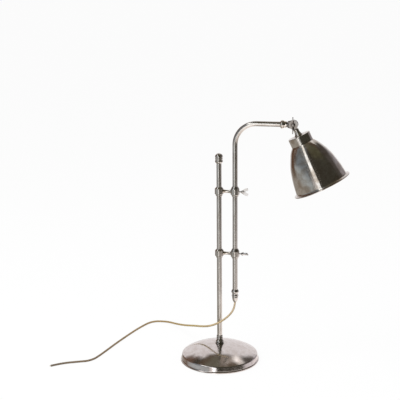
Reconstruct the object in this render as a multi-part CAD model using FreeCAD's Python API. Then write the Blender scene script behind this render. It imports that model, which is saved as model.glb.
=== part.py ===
"""Dome shade desk lamp: a weighted round base with a fixed post, and a bent arm tube that slides and turns
in two clamps beside the post and carries a bell shade on a tilting knuckle.

Millimetres. The origin is the centre of the base's underside, +Z is up, and the arm points along +X.
An outline is a list of (radius, height) steps about a piece's own axis. A step of two numbers is a
straight line to that point, and a step of four is an arc through the first point to the second. An
outline named WALL gives each radius as a wall over the tube, cup or cord that the piece goes round.
"""

import FreeCAD, Part
import math
import os

V = FreeCAD.Vector
X_AXIS = V(1, 0, 0)
Y_AXIS = V(0, 1, 0)
Z_AXIS = V(0, 0, 1)
HERE = V(0, 0, 0)
FULL_TURN = 360
QUARTER = 90

# ---- driving sizes ----------------------------------------------------------------------------------
# clearances
FIT_GAP = 0.10  # radial, a shaft that turns or slides in its bore
SEAT_GAP = 0.15  # radial, a fixed piece in its seat
MOVE_GAP = 0.40  # between flat faces that move past each other

# base
FOOT_R = 100.0
SKIRT_IN = 3.6  # how far the dome's edge stands in from the foot
EDGE_Z = 16.3
CROWN = 27.3  # the dome's rise above its edge
COVER_T = 1.5
RIM_Z = 0.5  # the cover's rim stays this far off the table
LIP_H = 2.2
COVE_H = 3.0
COVE_IN = 2.6
EDGE_ROUND = 1.6
FELT_T = 2.0
FELT_GAP = 1.5  # between the felt's edge and the cover's rim
WEIGHT_GAP = 1.9  # between the weight's edge and the cover
WEIGHT_UNDER = 2.6  # between the weight's edge and the dome above it
WEIGHT_STEP = 8.0  # between the weight's flat top and the dome above its shoulder
WEIGHT_SLOPE_W = 31.0
WEIGHT_BOSS_R = 16.0
WEIGHT_BOSS_FLARE = 4.0
NUT_RECESS_R = 15.0
NUT_RECESS_H = 12.0
STUD_R = 4.0
STUD_END_GAP = 2.5
NUT_FLATS = 13.0
NUT_T = 6.5
WASHER_R = 12.0
WASHER_T = 1.6

# post and its fittings
TUBE_R = 6.35
TUBE_WALL = 1.1
POST_TOP_Z = 519.8
FOOT_FLANGE_R = 11.5
FOOT_SOCKET_H = 14.0
FOOT_WALL = (
    (4.65, 1.6),
    (2.65, 1.9),
    (3.65, 5.4, 1.55, 9.2),
    (0.95, 10.2),
    (1.75, 13.4, 1.05, 16.6),
    (1.35, 18.4, 0.65, 21.5),
)
CAP_SKIRT = 7.4  # how far the cap comes down over the tube
CAP_DOME_H = 7.0
CAP_WALL = (
    (1.05, 0.0),
    (3.25, 2.6),
    (3.55, 4.4, 3.25, 6.2),
    (2.35, 7.2),
    (2.35, 9.2),
    (3.05, 9.7),
    (3.05, 12.0),
    (2.45, 12.7),
    (2.45, 14.2),
    (3.35, 15.0),
    (3.35, 17.6),
)

# clamps; heights are from the bar's centre line
ROD_X = 40.0
UPPER_BAR_Z = 442.0
LOWER_BAR_Z = 283.5
COLLAR_WALL = 4.45
COLLAR_DOWN = 12.2
COLLAR_UP = 6.5
COLLAR_LOW_WALL = ((1.15, 0.0), (1.95, 1.0), (1.95, 3.3), (3.25, 4.2), (4.45, 5.6))
POST_CONE_H = 3.6
ROD_CONE_H = 6.5
CONE_LIP = 1.05
BAR_WAIST_R = 3.6
BAR_END_R = 5.3
BAR_HEEL = 1.5  # how far the bar's ends reach in behind the collars' faces before they are scribed
SPIGOT_R = 2.5
SPIGOT_L = 3.0
GRUB_R = 2.5
GRUB_SOCKET_R = 1.2
GRUB_SOCKET_L = 2.0
GRUB_IN = 0.3

# thumb screws
SCREW_R = 2.0
SCREW_POINT = 0.5
SCREW_NECK_L = 3.4
SCREW_CONE_L = 4.2
SCREW_HUB_L = 9.0
SCREW_HUB_R = 4.3
SCREW_CROWN = 2.4
EAR_L = 17.8
EAR_ROOT_L = 3.4
EAR_ROOT_HALF = 3.7
EAR_HALF = 10.0
EAR_T = 2.6
EAR_NOTCH = 5.5
LOWER_SCREW_TURN = 62.0

# arm
ARM_Z = 612.3
BEND_R = 53.0
ROD_BOTTOM_Z = 180.0
PIVOT_X = 182.0
FERRULE_FACE = 16.6  # the ferrule's face, from the pivot
FERRULE_LIP = 2.0
FERRULE_WALL = ((0.55, 0.0), (1.25, 1.2), (3.85, 5.4, 2.25, 9.4), (1.15, 13.6), (1.15, 15.8))
FORK_NECK_R = 6.0
FORK_SHOULDER = 13.6  # the fork's shoulder, from the pivot
FORK_SHOULDER_R = 8.2
FORK_FLARE = 3.6  # the fork is at its full radius this far before the pivot

# knuckle
KNUCKLE_R = 10.8
CHEEK_OUT = 7.6
SLOT_GAP = 1.3  # between the tongue's edge and the slot's end, so that the stem can swing
TONGUE_T = 6.0
BOLT_R = 2.5
BOLT_POINT = 0.6
BOLT_END = 1.5  # how far the bolt stands out of the nut
BOLT_HEAD_R = 4.6
BOLT_HEAD_T = 2.8
BOLT_HEAD_ROUND = 1.1
KNUCKLE_WASHER_R = 5.6
KNUCKLE_WASHER_T = 0.8
WING_HUB_L = 5.4
WING_HUB_R = 4.8
WING_HUB_ROUND = 0.8
WING_REACH = 20.2
WING_T = 2.0
WING_DEPTH = 8.5
WING_ROOT = 3.4

# rod end and cord gland
ROD_BEAD_OVER = 9.8  # how far the bead comes up over the tube
ROD_BEAD_UNDER = 2.8
ROD_BEAD_WALL = ((0.65, 0.0), (1.45, -1.4), (3.05, -5.4, 1.95, -9.2), (0.85, -10.2))
GLAND_SPIGOT_R = 4.6
GLAND_SPIGOT_L = 9.0
GLAND_MOUTH_WALL = 1.9
GLAND_WALL = (
    (4.4, 13.8, 4.8, 13.6),
    (3.8, 13.6),
    (3.8, 15.0),
    (6.2, 15.6),
    (6.2, 17.4),
    (4.9, 18.0),
    (4.5, 19.6),
)
LEAD_IN = 10.4  # how far the arm's lead comes down into the gland, to the cord's end

# shade, in its own frame: the pivot is the origin and the mouth is down
SHADE_TILT = 26.0
STEM_TOP = 12.0
STEM_TOP_R = 6.6
STEM_ROUND = 0.8
STEM_WAIST = 8.5
STEM_FOOT_R = 10.0
STEM_CAP_T = 2.0
WEB_HALF = 5.1
NECK_DROP = 28.8
CUP_R = 27.5
CUP_H = 21.2
CUP_ROUND = 1.6
SHEET_T = 1.0
BELL_GAP = 0.3
BELL_WALL = (
    (0.0, 0.0),
    (9.0, 11.2),
    (17.5, 26.6),
    (23.5, 40.0),
    (28.1, 54.8),
    (31.9, 70.2),
    (35.1, 87.5),
    (37.4, 104.0),
)
BELL_LIP_OUT = 7.0
BELL_LIP_H = 8.2
BELL_LIP_SAG = 1.6
BELL_BEAD_R = 1.3

# lampholder and bulb, placed from the cup's top face
NIPPLE_R = 5.0
NIPPLE_BORE_R = 3.6
NIPPLE_UP = 9.0
NIPPLE_DOWN = 11.0
LOCKNUT_FLATS = 14.0
LOCKNUT_T = 3.0
HOLDER_WALL = 5.4
HOLDER_HAT = 2.1
HOLDER_HAT_H = 3.0
HOLDER_BRIM = 1.5
HOLDER_L = 44.0
HOLDER_CHAMFER = 1.0
HOLDER_FLOOR = 20.0
BELL_HOLE_GAP = 1.2
RING_W = 5.6
RING_T = 4.5
RING_CHAMFER = 1.2
RING_GAP = 0.2
CONTACT_R = 5.2
CONTACT_T = 0.6
SHELL_T = 0.4
SHELL_L = 22.0
SHELL_DROP = 3.0
BULB_PLAY = 0.25  # radial, the bulb's cap in the shell
BULB_DROP = 3.4  # from the holder's floor to the bulb's contact
BULB_CAP_R = 13.2
BULB_CAP_SKIRT = 4.0
BULB_THREADS = 5
BULB_PITCH = 3.6
BULB_THREAD_DEPTH = 1.2
BULB_CONTACT_R = 4.5
BULB_CONTACT_H = 2.2
BULB_CONE_H = 3.0
GLOBE_R = 22.5
GLOBE_DROP = 32.0  # from the bulb cap's lower end to the globe's centre
GLOBE_JOIN = 0.86  # the neck meets the globe at this share of its radius
GLASS_T = 0.9
GLASS_NECK_IN = 1.6
GLASS_NECK_L = 7.5
STEM_GLASS_R = 3.2
STEM_GLASS_L = 24.0
FILAMENT_R = 0.6
FILAMENT_SPAN = 16.0
FILAMENT_DROP = 7.0

# leads
CORD_R = 2.5
LEAD_R = 2.2
CORE_R = 0.8
CORE_L = 3.0

# The free cord's route, from inside the gland, in front of the post, down to the table behind it and
# round to its cut end at the left front.
ROUTE = (
    (40.0, 0.0, 166.0),
    (40.0, 0.0, 146.0),
    (31.0, -7.5, 126.0),
    (8.0, -19.5, 108.0),
    (-20.0, -9.0, 91.0),
    (-50.0, 26.0, 74.0),
    (-84.0, 76.0, 55.0),
    (-120.0, 130.0, 33.0),
    (-158.0, 184.0, 14.0),
    (-198.0, 228.0, 2.6),
    (-240.0, 222.0, 2.6),
    (-260.0, 170.0, 2.6),
    (-276.0, 108.0, 2.6),
    (-291.5, 38.0, 2.6),
    (-304.5, -32.0, 2.6),
    (-317.0, -84.0, 2.6),
    (-355.0, -100.0, 2.6),
    (-387.0, -116.0, 2.6),
    (-408.0, -136.0, 2.6),
)
ARC_SHARE = 0.45  # the share of the shorter run that an arc takes at each end

# ---- sizes that follow ------------------------------------------------------------------------------
EDGE_R = FOOT_R - SKIRT_IN
DOME_R = (EDGE_R**2 + CROWN**2) / (2 * CROWN)
DOME_CENTRE_Z = EDGE_Z + CROWN - DOME_R
INNER_DOME_R = DOME_R - COVER_T
FELT_R = FOOT_R - COVER_T - FELT_GAP
WEIGHT_R = EDGE_R - COVER_T - WEIGHT_GAP
STUD_BORE_R = STUD_R + SEAT_GAP
SOCKET_R = TUBE_R + SEAT_GAP
SEAT_Z = DOME_CENTRE_Z + math.sqrt(DOME_R**2 - FOOT_FLANGE_R**2)
SOCKET_Z = SEAT_Z + FOOT_WALL[-1][-1] - FOOT_SOCKET_H
COLLAR_R = TUBE_R + COLLAR_WALL
GLAND_TOP_Z = ROD_BOTTOM_Z - ROD_BEAD_UNDER - MOVE_GAP
GLAND_LOW_Z = GLAND_TOP_Z - GLAND_WALL[-1][-1]
NIPPLE_HOLE_R = NIPPLE_R + SEAT_GAP
BELL_TOP = CUP_H + BELL_GAP
BELL_L = BELL_WALL[-1][1] + BELL_LIP_H
BELL_LIP_R = CUP_R + BELL_WALL[-1][0] + BELL_LIP_OUT
HOLDER_TOP = SHEET_T + LOCKNUT_T + MOVE_GAP
HOLDER_BORE_R = BULB_CAP_R + BULB_PLAY + SHELL_T + SEAT_GAP
HOLDER_R = HOLDER_BORE_R + HOLDER_WALL
SHELL_TOP = HOLDER_FLOOR + SHELL_DROP
BULB_TOP = HOLDER_FLOOR + BULB_DROP
THREAD_TOP = BULB_TOP + BULB_CONTACT_H + BULB_CONE_H
GLOBE_TOP = THREAD_TOP + BULB_THREADS * BULB_PITCH + BULB_CAP_SKIRT


# ---- shared makers ----------------------------------------------------------------------------------
def edges_of(outline):
    """The edges of a closed outline in the XZ plane."""
    points = [V(step[-2], 0, step[-1]) for step in outline]
    edges = []
    for i, step in enumerate(outline):
        start = points[i - 1]
        if len(step) == 4:
            edges.append(Part.Arc(start, V(step[0], 0, step[1]), points[i]).toShape())
        elif not start.isEqual(points[i], 0):
            edges.append(Part.LineSegment(start, points[i]).toShape())
    return edges


def turned(outline):
    """A piece turned about Z from an outline, which is closed by a line from its last step to its first."""
    face = Part.Face(Part.Wire(edges_of(outline)))
    return face.revolve(HERE, Z_AXIS, FULL_TURN)


def placed(walls, radius, z):
    """An outline of (wall, height) steps, moved out by a radius and up by a height."""
    return [tuple(v + (z if i % 2 else radius) for i, v in enumerate(step)) for step in walls]


def crown(radius, z, rise):
    """The arc step of a round top, from its edge at a radius and height up to its pole on the axis."""
    ball_r = (radius**2 + rise**2) / (2 * rise)
    half_turn = math.asin(radius / ball_r) if rise < radius else math.pi - math.asin(radius / ball_r)
    mid_r = ball_r * math.sin(half_turn / 2)
    mid_z = z + rise - ball_r * (1 - math.cos(half_turn / 2))
    return (mid_r, mid_z, 0, z + rise)


def along_x(shape, x, z):
    """A piece turned about Z, laid down so that its height runs along +X from a point on the arm's plane."""
    shape.rotate(HERE, Y_AXIS, QUARTER)
    shape.translate(V(x, 0, z))
    return shape


def rod_between(radius, start, end):
    """A plain round bar from one point to another."""
    return Part.makeCylinder(radius, start.distanceToPoint(end), start, end - start)


def across(radius, half):
    """A round bar along Y, with its middle at the origin."""
    return rod_between(radius, V(0, -half, 0), V(0, half, 0))


def hexagon(flats, height, z):
    """A hexagonal block about Z."""
    corner = V(flats / math.sqrt(3), 0, z)
    points = [FreeCAD.Rotation(Z_AXIS, FULL_TURN / 6 * k).multVec(corner) for k in range(7)]
    return Part.Face(Part.makePolygon(points)).extrude(V(0, 0, height))


def ring(outer, inner, z, height):
    """A flat ring about Z."""
    return turned([(inner, z), (outer, z), (outer, z + height), (inner, z + height)])


def plate(outline, thickness):
    """A flat plate from an outline in the XZ plane, with half its thickness on each side."""
    face = Part.Face(Part.Wire(edges_of(outline)))
    body = face.extrude(V(0, thickness, 0))
    body.translate(V(0, -thickness / 2, 0))
    return body


def save(shape, node):
    """Writes one node and prints its volume."""
    shape.exportStep("parts/%s.step" % node)
    report = (node, len(shape.Solids), shape.Volume, shape.isValid())
    print("%-20s %2d solid(s) %10.1f mm3 valid %s" % report)


# ---- base -------------------------------------------------------------------------------------------
def dome_z(radius, ball_r=DOME_R):
    """The dome's height at a distance from the post's axis, on its outer or inner face."""
    return DOME_CENTRE_Z + math.sqrt(ball_r**2 - radius**2)


def base_cover():
    """The spun dome with its short wall, cove and foot lip."""
    shoulder_r = EDGE_R - EDGE_ROUND
    wall_z = EDGE_Z - EDGE_ROUND
    bulge = EDGE_ROUND / 4
    lip_z = RIM_Z + LIP_H
    cove_z = lip_z + COVE_H
    cove_r = FOOT_R - COVE_IN
    cove_mid = COVE_IN / 3.5
    inner_r = EDGE_R - COVER_T
    mid_r = (FOOT_FLANGE_R + shoulder_r) / 2
    under = COVER_T / 5
    return turned(
        [
            (STUD_BORE_R, SEAT_Z),
            (FOOT_FLANGE_R, SEAT_Z),
            (mid_r, dome_z(mid_r), shoulder_r, dome_z(shoulder_r)),
            (EDGE_R - bulge, EDGE_Z - bulge, EDGE_R, wall_z),
            (cove_r, cove_z),
            (cove_r + cove_mid, lip_z + cove_mid, FOOT_R - bulge, lip_z),
            (FOOT_R, lip_z - bulge),
            (FOOT_R, RIM_Z),
            (FOOT_R - COVER_T, RIM_Z),
            (FOOT_R - COVER_T, lip_z - COVER_T + under),
            (cove_r - COVER_T, cove_z - under),
            (inner_r, wall_z),
            (inner_r, dome_z(inner_r, INNER_DOME_R)),
            (inner_r / 2, dome_z(inner_r / 2, INNER_DOME_R), STUD_BORE_R, dome_z(STUD_BORE_R, INNER_DOME_R)),
        ]
    )


def base_weight():
    """The cast disc that steadies the lamp, with a boss up to the dome and a recess for the nut."""
    recess_z = FELT_T + NUT_RECESS_H
    boss_z = dome_z(WEIGHT_BOSS_R, INNER_DOME_R) - SEAT_GAP
    shoulder_r = WEIGHT_R - WEIGHT_SLOPE_W
    shoulder_z = dome_z(shoulder_r, INNER_DOME_R) - WEIGHT_STEP
    return turned(
        [
            (STUD_BORE_R, recess_z),
            (NUT_RECESS_R, recess_z),
            (NUT_RECESS_R, FELT_T),
            (WEIGHT_R, FELT_T),
            (WEIGHT_R, dome_z(WEIGHT_R, INNER_DOME_R) - WEIGHT_UNDER),
            (shoulder_r, shoulder_z),
            (WEIGHT_BOSS_R + WEIGHT_BOSS_FLARE, shoulder_z),
            (WEIGHT_BOSS_R, boss_z),
            (STUD_BORE_R, boss_z),
        ]
    )


def base_felt_pad():
    """The felt disc under the weight, which the lamp stands on."""
    return Part.makeCylinder(FELT_R, FELT_T)


def base_stud():
    """The threaded stud that pulls the post's foot, dome and weight together."""
    return rod_between(STUD_R, V(0, 0, FELT_T + STUD_END_GAP), V(0, 0, SOCKET_Z))


def base_nut():
    """The hexagonal nut in the weight's recess."""
    z = FELT_T + NUT_RECESS_H - WASHER_T - NUT_T
    return hexagon(NUT_FLATS, NUT_T, z).cut(Part.makeCylinder(STUD_BORE_R, NUT_T, V(0, 0, z)))


def base_washer():
    """The washer over the nut."""
    return ring(WASHER_R, STUD_BORE_R, FELT_T + NUT_RECESS_H - WASHER_T, WASHER_T)


# ---- post -------------------------------------------------------------------------------------------
def post_foot():
    """The turned fitting on the dome: a flange, a bulge and a ring, with a socket for the post."""
    top = SEAT_Z + FOOT_WALL[-1][-1]
    flange_edge = (FOOT_FLANGE_R, SEAT_Z + FOOT_WALL[0][1] - BOLT_POINT)
    outer = [(STUD_BORE_R, SEAT_Z), (FOOT_FLANGE_R, SEAT_Z), flange_edge] + placed(FOOT_WALL, TUBE_R, SEAT_Z)
    inner = [(SOCKET_R, top), (SOCKET_R, SOCKET_Z), (STUD_BORE_R, SOCKET_Z)]
    return turned(outer + inner)


def post_tube():
    """The fixed post."""
    return ring(TUBE_R, TUBE_R - TUBE_WALL, SOCKET_Z, POST_TOP_Z - SOCKET_Z)


def post_cap():
    """The turned cap on the post: a bead, two fine rings and a domed top."""
    low = POST_TOP_Z - CAP_SKIRT
    outer = placed(CAP_WALL, TUBE_R, low)
    edge_r, edge_z = outer[-1]
    inner = [(0, POST_TOP_Z), (SOCKET_R, POST_TOP_Z), (SOCKET_R, low)]
    return turned(outer + [crown(edge_r, edge_z, CAP_DOME_H)] + inner)


# ---- clamps -----------------------------------------------------------------------------------------
def collar(bore, cone_h):
    """A clamp collar about Z, with its bar's centre at height 0: a ring below, a body and a coned top."""
    top = COLLAR_UP + cone_h
    outer = placed(COLLAR_LOW_WALL, TUBE_R, -COLLAR_DOWN) + [(COLLAR_R, COLLAR_UP), (TUBE_R + CONE_LIP, top)]
    return turned(outer + [(bore, top), (bore, -COLLAR_DOWN)])


def side_hole(radius, side):
    """A cutter for a round hole through one wall of a collar, on its +X or -X side."""
    return rod_between(radius, V(side * TUBE_R, 0, 0), V(side * (COLLAR_R + 1), 0, 0))


def post_collar(bar_z):
    """The collar that is fixed on the post, with holes for its bar and its grub screw."""
    body = collar(SOCKET_R, POST_CONE_H)
    body = body.cut([side_hole(SPIGOT_R + SEAT_GAP, 1), side_hole(GRUB_R + SEAT_GAP, -1)])
    body.translate(V(0, 0, bar_z))
    return body


def rod_collar(bar_z):
    """The collar that the arm's rod slides and turns in, with holes for its bar and its thumb screw."""
    body = collar(TUBE_R + FIT_GAP, ROD_CONE_H)
    body = body.cut([side_hole(SPIGOT_R + SEAT_GAP, -1), side_hole(SCREW_R + FIT_GAP, 1)])
    body.translate(V(ROD_X, 0, bar_z))
    return body


def link_bar(bar_z):
    """The waisted bar between two collars, scribed to them, with a spigot into each."""
    end = COLLAR_R - BAR_HEEL
    far = ROD_X - end
    waist = turned([(0, end), (BAR_END_R, end), (BAR_WAIST_R, ROD_X / 2, BAR_END_R, far), (0, far)])
    waist = along_x(waist, 0, 0)
    for x in (0, ROD_X):
        waist = waist.cut(Part.makeCylinder(COLLAR_R + SEAT_GAP, 4 * BAR_END_R, V(x, 0, -2 * BAR_END_R)))
    spigot = rod_between(SPIGOT_R, V(COLLAR_R - SPIGOT_L, 0, 0), V(ROD_X - COLLAR_R + SPIGOT_L, 0, 0))
    bar = waist.fuse(spigot).removeSplitter()
    bar.translate(V(0, 0, bar_z))
    return bar


def grub_screw(bar_z):
    """The headless screw that holds a collar on the post."""
    end = V(GRUB_IN - COLLAR_R, 0, bar_z)
    socket = rod_between(GRUB_SOCKET_R, end + V(GRUB_SOCKET_L, 0, 0), end)
    return rod_between(GRUB_R, V(-TUBE_R - SEAT_GAP, 0, bar_z), end).cut(socket)


def thumb_screw(bar_z, turn):
    """A winged screw whose tip meets the rod: shank, neck, hub and two ears."""
    tip = TUBE_R + MOVE_GAP
    neck = COLLAR_R + SCREW_NECK_L
    hub_end = neck + SCREW_HUB_L
    crown_z = hub_end - SCREW_CROWN
    body = turned(
        [
            (0, tip),
            (SCREW_R - SCREW_POINT, tip),
            (SCREW_R, tip + SCREW_POINT),
            (SCREW_R, neck),
            (SCREW_HUB_R, neck + SCREW_CONE_L),
            (SCREW_HUB_R, crown_z),
            crown(SCREW_HUB_R, crown_z, SCREW_CROWN),
        ]
    )
    root = neck + EAR_ROOT_L
    end = neck + EAR_L
    swell = EAR_HALF * 0.8
    shoulder = (end - EAR_HALF * 0.75, swell, end - EAR_HALF * 0.16, EAR_HALF)
    tip_arc = (end + EAR_HALF * 0.06, EAR_HALF * 0.62, end - EAR_HALF * 0.08, EAR_HALF * 0.3)
    ears = plate(
        [
            (root, -EAR_ROOT_HALF),
            (shoulder[0], -shoulder[1], shoulder[2], -shoulder[3]),
            (tip_arc[0], -tip_arc[1], tip_arc[2], -tip_arc[3]),
            (end - EAR_NOTCH, 0, tip_arc[2], tip_arc[3]),
            (tip_arc[0], tip_arc[1], shoulder[2], shoulder[3]),
            (shoulder[0], shoulder[1], root, EAR_ROOT_HALF),
        ],
        EAR_T,
    )
    screw = along_x(body, 0, 0).fuse(ears).removeSplitter()
    screw.rotate(HERE, X_AXIS, turn)
    screw.translate(V(ROD_X, 0, bar_z))
    return screw


# ---- arm --------------------------------------------------------------------------------------------
def arm_path(start_z, end_x):
    """The arm's centre line: up the rod, round the bend and out along +X."""
    bend_start = V(ROD_X, 0, ARM_Z - BEND_R)
    inset = BEND_R * (1 - math.sqrt(0.5))
    bend_middle = V(ROD_X + inset, 0, ARM_Z - inset)
    bend_end = V(ROD_X + BEND_R, 0, ARM_Z)
    return Part.Wire(
        [
            Part.LineSegment(V(ROD_X, 0, start_z), bend_start).toShape(),
            Part.Arc(bend_start, bend_middle, bend_end).toShape(),
            Part.LineSegment(bend_end, V(end_x, 0, ARM_Z)).toShape(),
        ]
    )


def swept(path, radius, start, direction):
    """A round solid along a path."""
    section = Part.Wire(Part.makeCircle(radius, start, direction))
    return path.makePipeShell([section], True, False)


def arm_tube():
    """The bent tube: the sliding rod and the arm in one piece."""
    path = arm_path(ROD_BOTTOM_Z, PIVOT_X - FERRULE_FACE - FERRULE_LIP - SEAT_GAP)
    start = V(ROD_X, 0, ROD_BOTTOM_Z)
    outer = swept(path, TUBE_R, start, Z_AXIS)
    return outer.cut(swept(path, TUBE_R - TUBE_WALL, start, Z_AXIS))


def arm_lead():
    """The lead inside the arm tube, from the gland to the knuckle."""
    start_z = GLAND_TOP_Z - LEAD_IN
    path = arm_path(start_z, PIVOT_X - FORK_SHOULDER)
    return swept(path, LEAD_R, V(ROD_X, 0, start_z), Z_AXIS)


def arm_ferrule():
    """The turned ferrule over the arm's end: a bead that tapers to a nose."""
    length = FERRULE_WALL[-1][1]
    outer = placed(FERRULE_WALL, TUBE_R, 0)
    throat = FORK_NECK_R - SCREW_POINT
    lip = length - FERRULE_LIP
    inner = [(throat, length), (throat, lip), (SOCKET_R, lip), (SOCKET_R, 0)]
    return along_x(turned(outer + inner), PIVOT_X - FERRULE_FACE - length, ARM_Z)


def knuckle_fork():
    """The fork on the arm's end: a dark neck, a flared shoulder and two round cheeks with a slot."""
    lead_bore = LEAD_R + SEAT_GAP
    neck = turned(
        [
            (lead_bore, -FERRULE_FACE),
            (FORK_NECK_R, -FERRULE_FACE),
            (FORK_NECK_R, -FORK_SHOULDER),
            (FORK_SHOULDER_R, -FORK_SHOULDER),
            (KNUCKLE_R, -FORK_FLARE),
            (KNUCKLE_R, 0),
            (lead_bore, 0),
        ]
    )
    neck = along_x(neck, 0, 0)
    # past the cheeks' edge the fork is as wide as the cheeks, and behind it the flare stays round
    side = 4 * KNUCKLE_R
    between = Part.makeBox(KNUCKLE_R, 2 * CHEEK_OUT, side, V(-KNUCKLE_R, -CHEEK_OUT, -side / 2))
    behind = Part.makeBox(side, side, side, V(-KNUCKLE_R - side, -side / 2, -side / 2))
    fork = neck.common(between).fuse([neck.common(behind), across(KNUCKLE_R, CHEEK_OUT)]).removeSplitter()
    slot = across(KNUCKLE_R + SLOT_GAP, TONGUE_T / 2 + MOVE_GAP)
    fork = fork.cut([slot, across(BOLT_R + SEAT_GAP, 2 * CHEEK_OUT)])
    fork.translate(V(PIVOT_X, 0, ARM_Z))
    return fork


def knuckle_bolt():
    """The bolt through the knuckle, with its round head at the back."""
    end = -CHEEK_OUT - KNUCKLE_WASHER_T - WING_HUB_L - BOLT_END
    head_z = CHEEK_OUT + SEAT_GAP
    head_end = head_z + BOLT_HEAD_T
    bolt = turned(
        [
            (0, end),
            (BOLT_R - BOLT_POINT, end),
            (BOLT_R, end + BOLT_POINT),
            (BOLT_R, head_z),
            (BOLT_HEAD_R, head_z),
            (BOLT_HEAD_R, head_end - BOLT_HEAD_ROUND),
            (BOLT_HEAD_R - BOLT_HEAD_ROUND, head_end),
            (0, head_end),
        ]
    )
    bolt.rotate(HERE, X_AXIS, -QUARTER)
    bolt.translate(V(PIVOT_X, 0, ARM_Z))
    return bolt


def knuckle_washer():
    """The washer under the wing nut."""
    washer = ring(KNUCKLE_WASHER_R, BOLT_R + SEAT_GAP, CHEEK_OUT, KNUCKLE_WASHER_T)
    washer.rotate(HERE, X_AXIS, QUARTER)
    washer.translate(V(PIVOT_X, 0, ARM_Z))
    return washer


def wing(side, seat, hub_end):
    """One wing of the wing nut, in the plane of the bolt and the vertical."""
    top = seat + WING_DEPTH
    rim = WING_DEPTH / 4
    outline = [
        (WING_ROOT, seat + WING_HUB_ROUND),
        (WING_REACH * 0.62, seat + rim * 0.6, WING_REACH * 0.94, seat + rim * 1.6),
        (WING_REACH, top - rim, WING_REACH * 0.86, top),
        (WING_REACH * 0.56, top - rim * 0.3, WING_ROOT, hub_end - WING_HUB_ROUND),
    ]
    body = plate([tuple(v * (1 if i % 2 else side) for i, v in enumerate(step)) for step in outline], WING_T)
    # the plate's X becomes the height and its Z the reach towards the front
    body.rotate(HERE, Z_AXIS, QUARTER)
    body.rotate(HERE, X_AXIS, QUARTER)
    return body


def wing_nut():
    """The wing nut at the front of the knuckle, its wings upright."""
    seat = CHEEK_OUT + KNUCKLE_WASHER_T + MOVE_GAP
    hub_end = seat + WING_HUB_L
    bore = BOLT_R + FIT_GAP
    hub = turned(
        [
            (bore, seat),
            (WING_HUB_R, seat),
            (WING_HUB_R - WING_HUB_ROUND, hub_end - WING_HUB_ROUND),
            (WING_HUB_R - 2 * WING_HUB_ROUND, hub_end),
            (bore, hub_end),
        ]
    )
    hub.rotate(HERE, X_AXIS, QUARTER)
    nut = hub.fuse([wing(1, seat, hub_end), wing(-1, seat, hub_end)]).removeSplitter()
    nut = nut.cut(across(bore, 2 * hub_end))
    nut.translate(V(PIVOT_X, 0, ARM_Z))
    return nut


def rod_end_bead():
    """The turned bead on the rod's lower end."""
    low = ROD_BOTTOM_Z - ROD_BEAD_UNDER
    throat = GLAND_SPIGOT_R + FIT_GAP
    outer = placed(ROD_BEAD_WALL, TUBE_R, ROD_BOTTOM_Z + ROD_BEAD_OVER)
    foot = [(outer[-1][0], low), (throat, low), (throat, ROD_BOTTOM_Z), (SOCKET_R, ROD_BOTTOM_Z)]
    body = turned([(SOCKET_R, ROD_BOTTOM_Z + ROD_BEAD_OVER)] + outer + foot)
    body.translate(V(ROD_X, 0, 0))
    return body


def cord_gland():
    """The swivelling cord gland: a tapered cup, a groove and a ring, with a spigot into the rod."""
    bore = CORD_R + FIT_GAP
    mouth = CORD_R + GLAND_MOUTH_WALL
    outer = placed(GLAND_WALL, CORD_R, GLAND_LOW_Z)
    cup_bulge, cup_top = outer[0][0], outer[0][3]
    cup = [(bore, GLAND_LOW_Z), (mouth, GLAND_LOW_Z)]
    cup.append((cup_bulge, (GLAND_LOW_Z + cup_top) / 2, outer[0][2], cup_top))
    spigot_top = GLAND_TOP_Z + GLAND_SPIGOT_L
    spigot = [(GLAND_SPIGOT_R, GLAND_TOP_Z), (GLAND_SPIGOT_R, spigot_top), (bore, spigot_top)]
    body = turned(cup + outer[1:] + spigot)
    body.translate(V(ROD_X, 0, 0))
    return body


# ---- shade ------------------------------------------------------------------------------------------
def hung(shape):
    """A shade piece, from the shade's own frame to its place on the knuckle at its tilt."""
    shape.rotate(HERE, Y_AXIS, -SHADE_TILT)
    shape.translate(V(PIVOT_X, 0, ARM_Z))
    return shape


def down(outline):
    """An outline whose heights count down from the cup's top face, in the shade's own frame."""
    return [tuple(-NECK_DROP - v if i % 2 else v for i, v in enumerate(step)) for step in outline]


def shade_stem():
    """The stem: a round tongue in the knuckle's slot and a cone that flares to the cup's top."""
    top = -STEM_TOP
    lead_bore = LEAD_R + SEAT_GAP
    cone = turned(
        [
            (0, top),
            (STEM_TOP_R - STEM_ROUND, top),
            (STEM_TOP_R, top - STEM_ROUND),
            (STEM_TOP_R + SEAT_GAP, top - STEM_WAIST, STEM_FOOT_R, -NECK_DROP + STEM_ROUND),
            (STEM_FOOT_R, -NECK_DROP),
            (NIPPLE_HOLE_R, -NECK_DROP),
            (NIPPLE_HOLE_R, -NECK_DROP + NIPPLE_UP),
            (lead_bore, -NECK_DROP + NIPPLE_UP),
            (lead_bore, top - STEM_CAP_T),
            (0, top - STEM_CAP_T),
        ]
    )
    web = Part.makeBox(2 * WEB_HALF, TONGUE_T, STEM_TOP, V(-WEB_HALF, -TONGUE_T / 2, top - SCREW_POINT))
    tongue = across(KNUCKLE_R - MOVE_GAP, TONGUE_T / 2)
    return hung(tongue.fuse([web, cone]).removeSplitter().cut(across(BOLT_R + FIT_GAP, TONGUE_T)))


def shade_cup():
    """The drawn cup under the stem, which covers the lampholder's top."""
    inner = CUP_R - SHEET_T
    inner_round = CUP_ROUND - SHEET_T / 2
    flat = CUP_ROUND * (1 - math.sqrt(0.5))
    return hung(
        turned(
            down(
                [
                    (NIPPLE_HOLE_R, 0),
                    (CUP_R - CUP_ROUND, 0),
                    (CUP_R - flat, flat, CUP_R, CUP_ROUND),
                    (CUP_R, CUP_H),
                    (inner, CUP_H),
                    (inner, SHEET_T + inner_round),
                    (inner - inner_round, SHEET_T),
                    (NIPPLE_HOLE_R, SHEET_T),
                ]
            )
        )
    )


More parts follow.
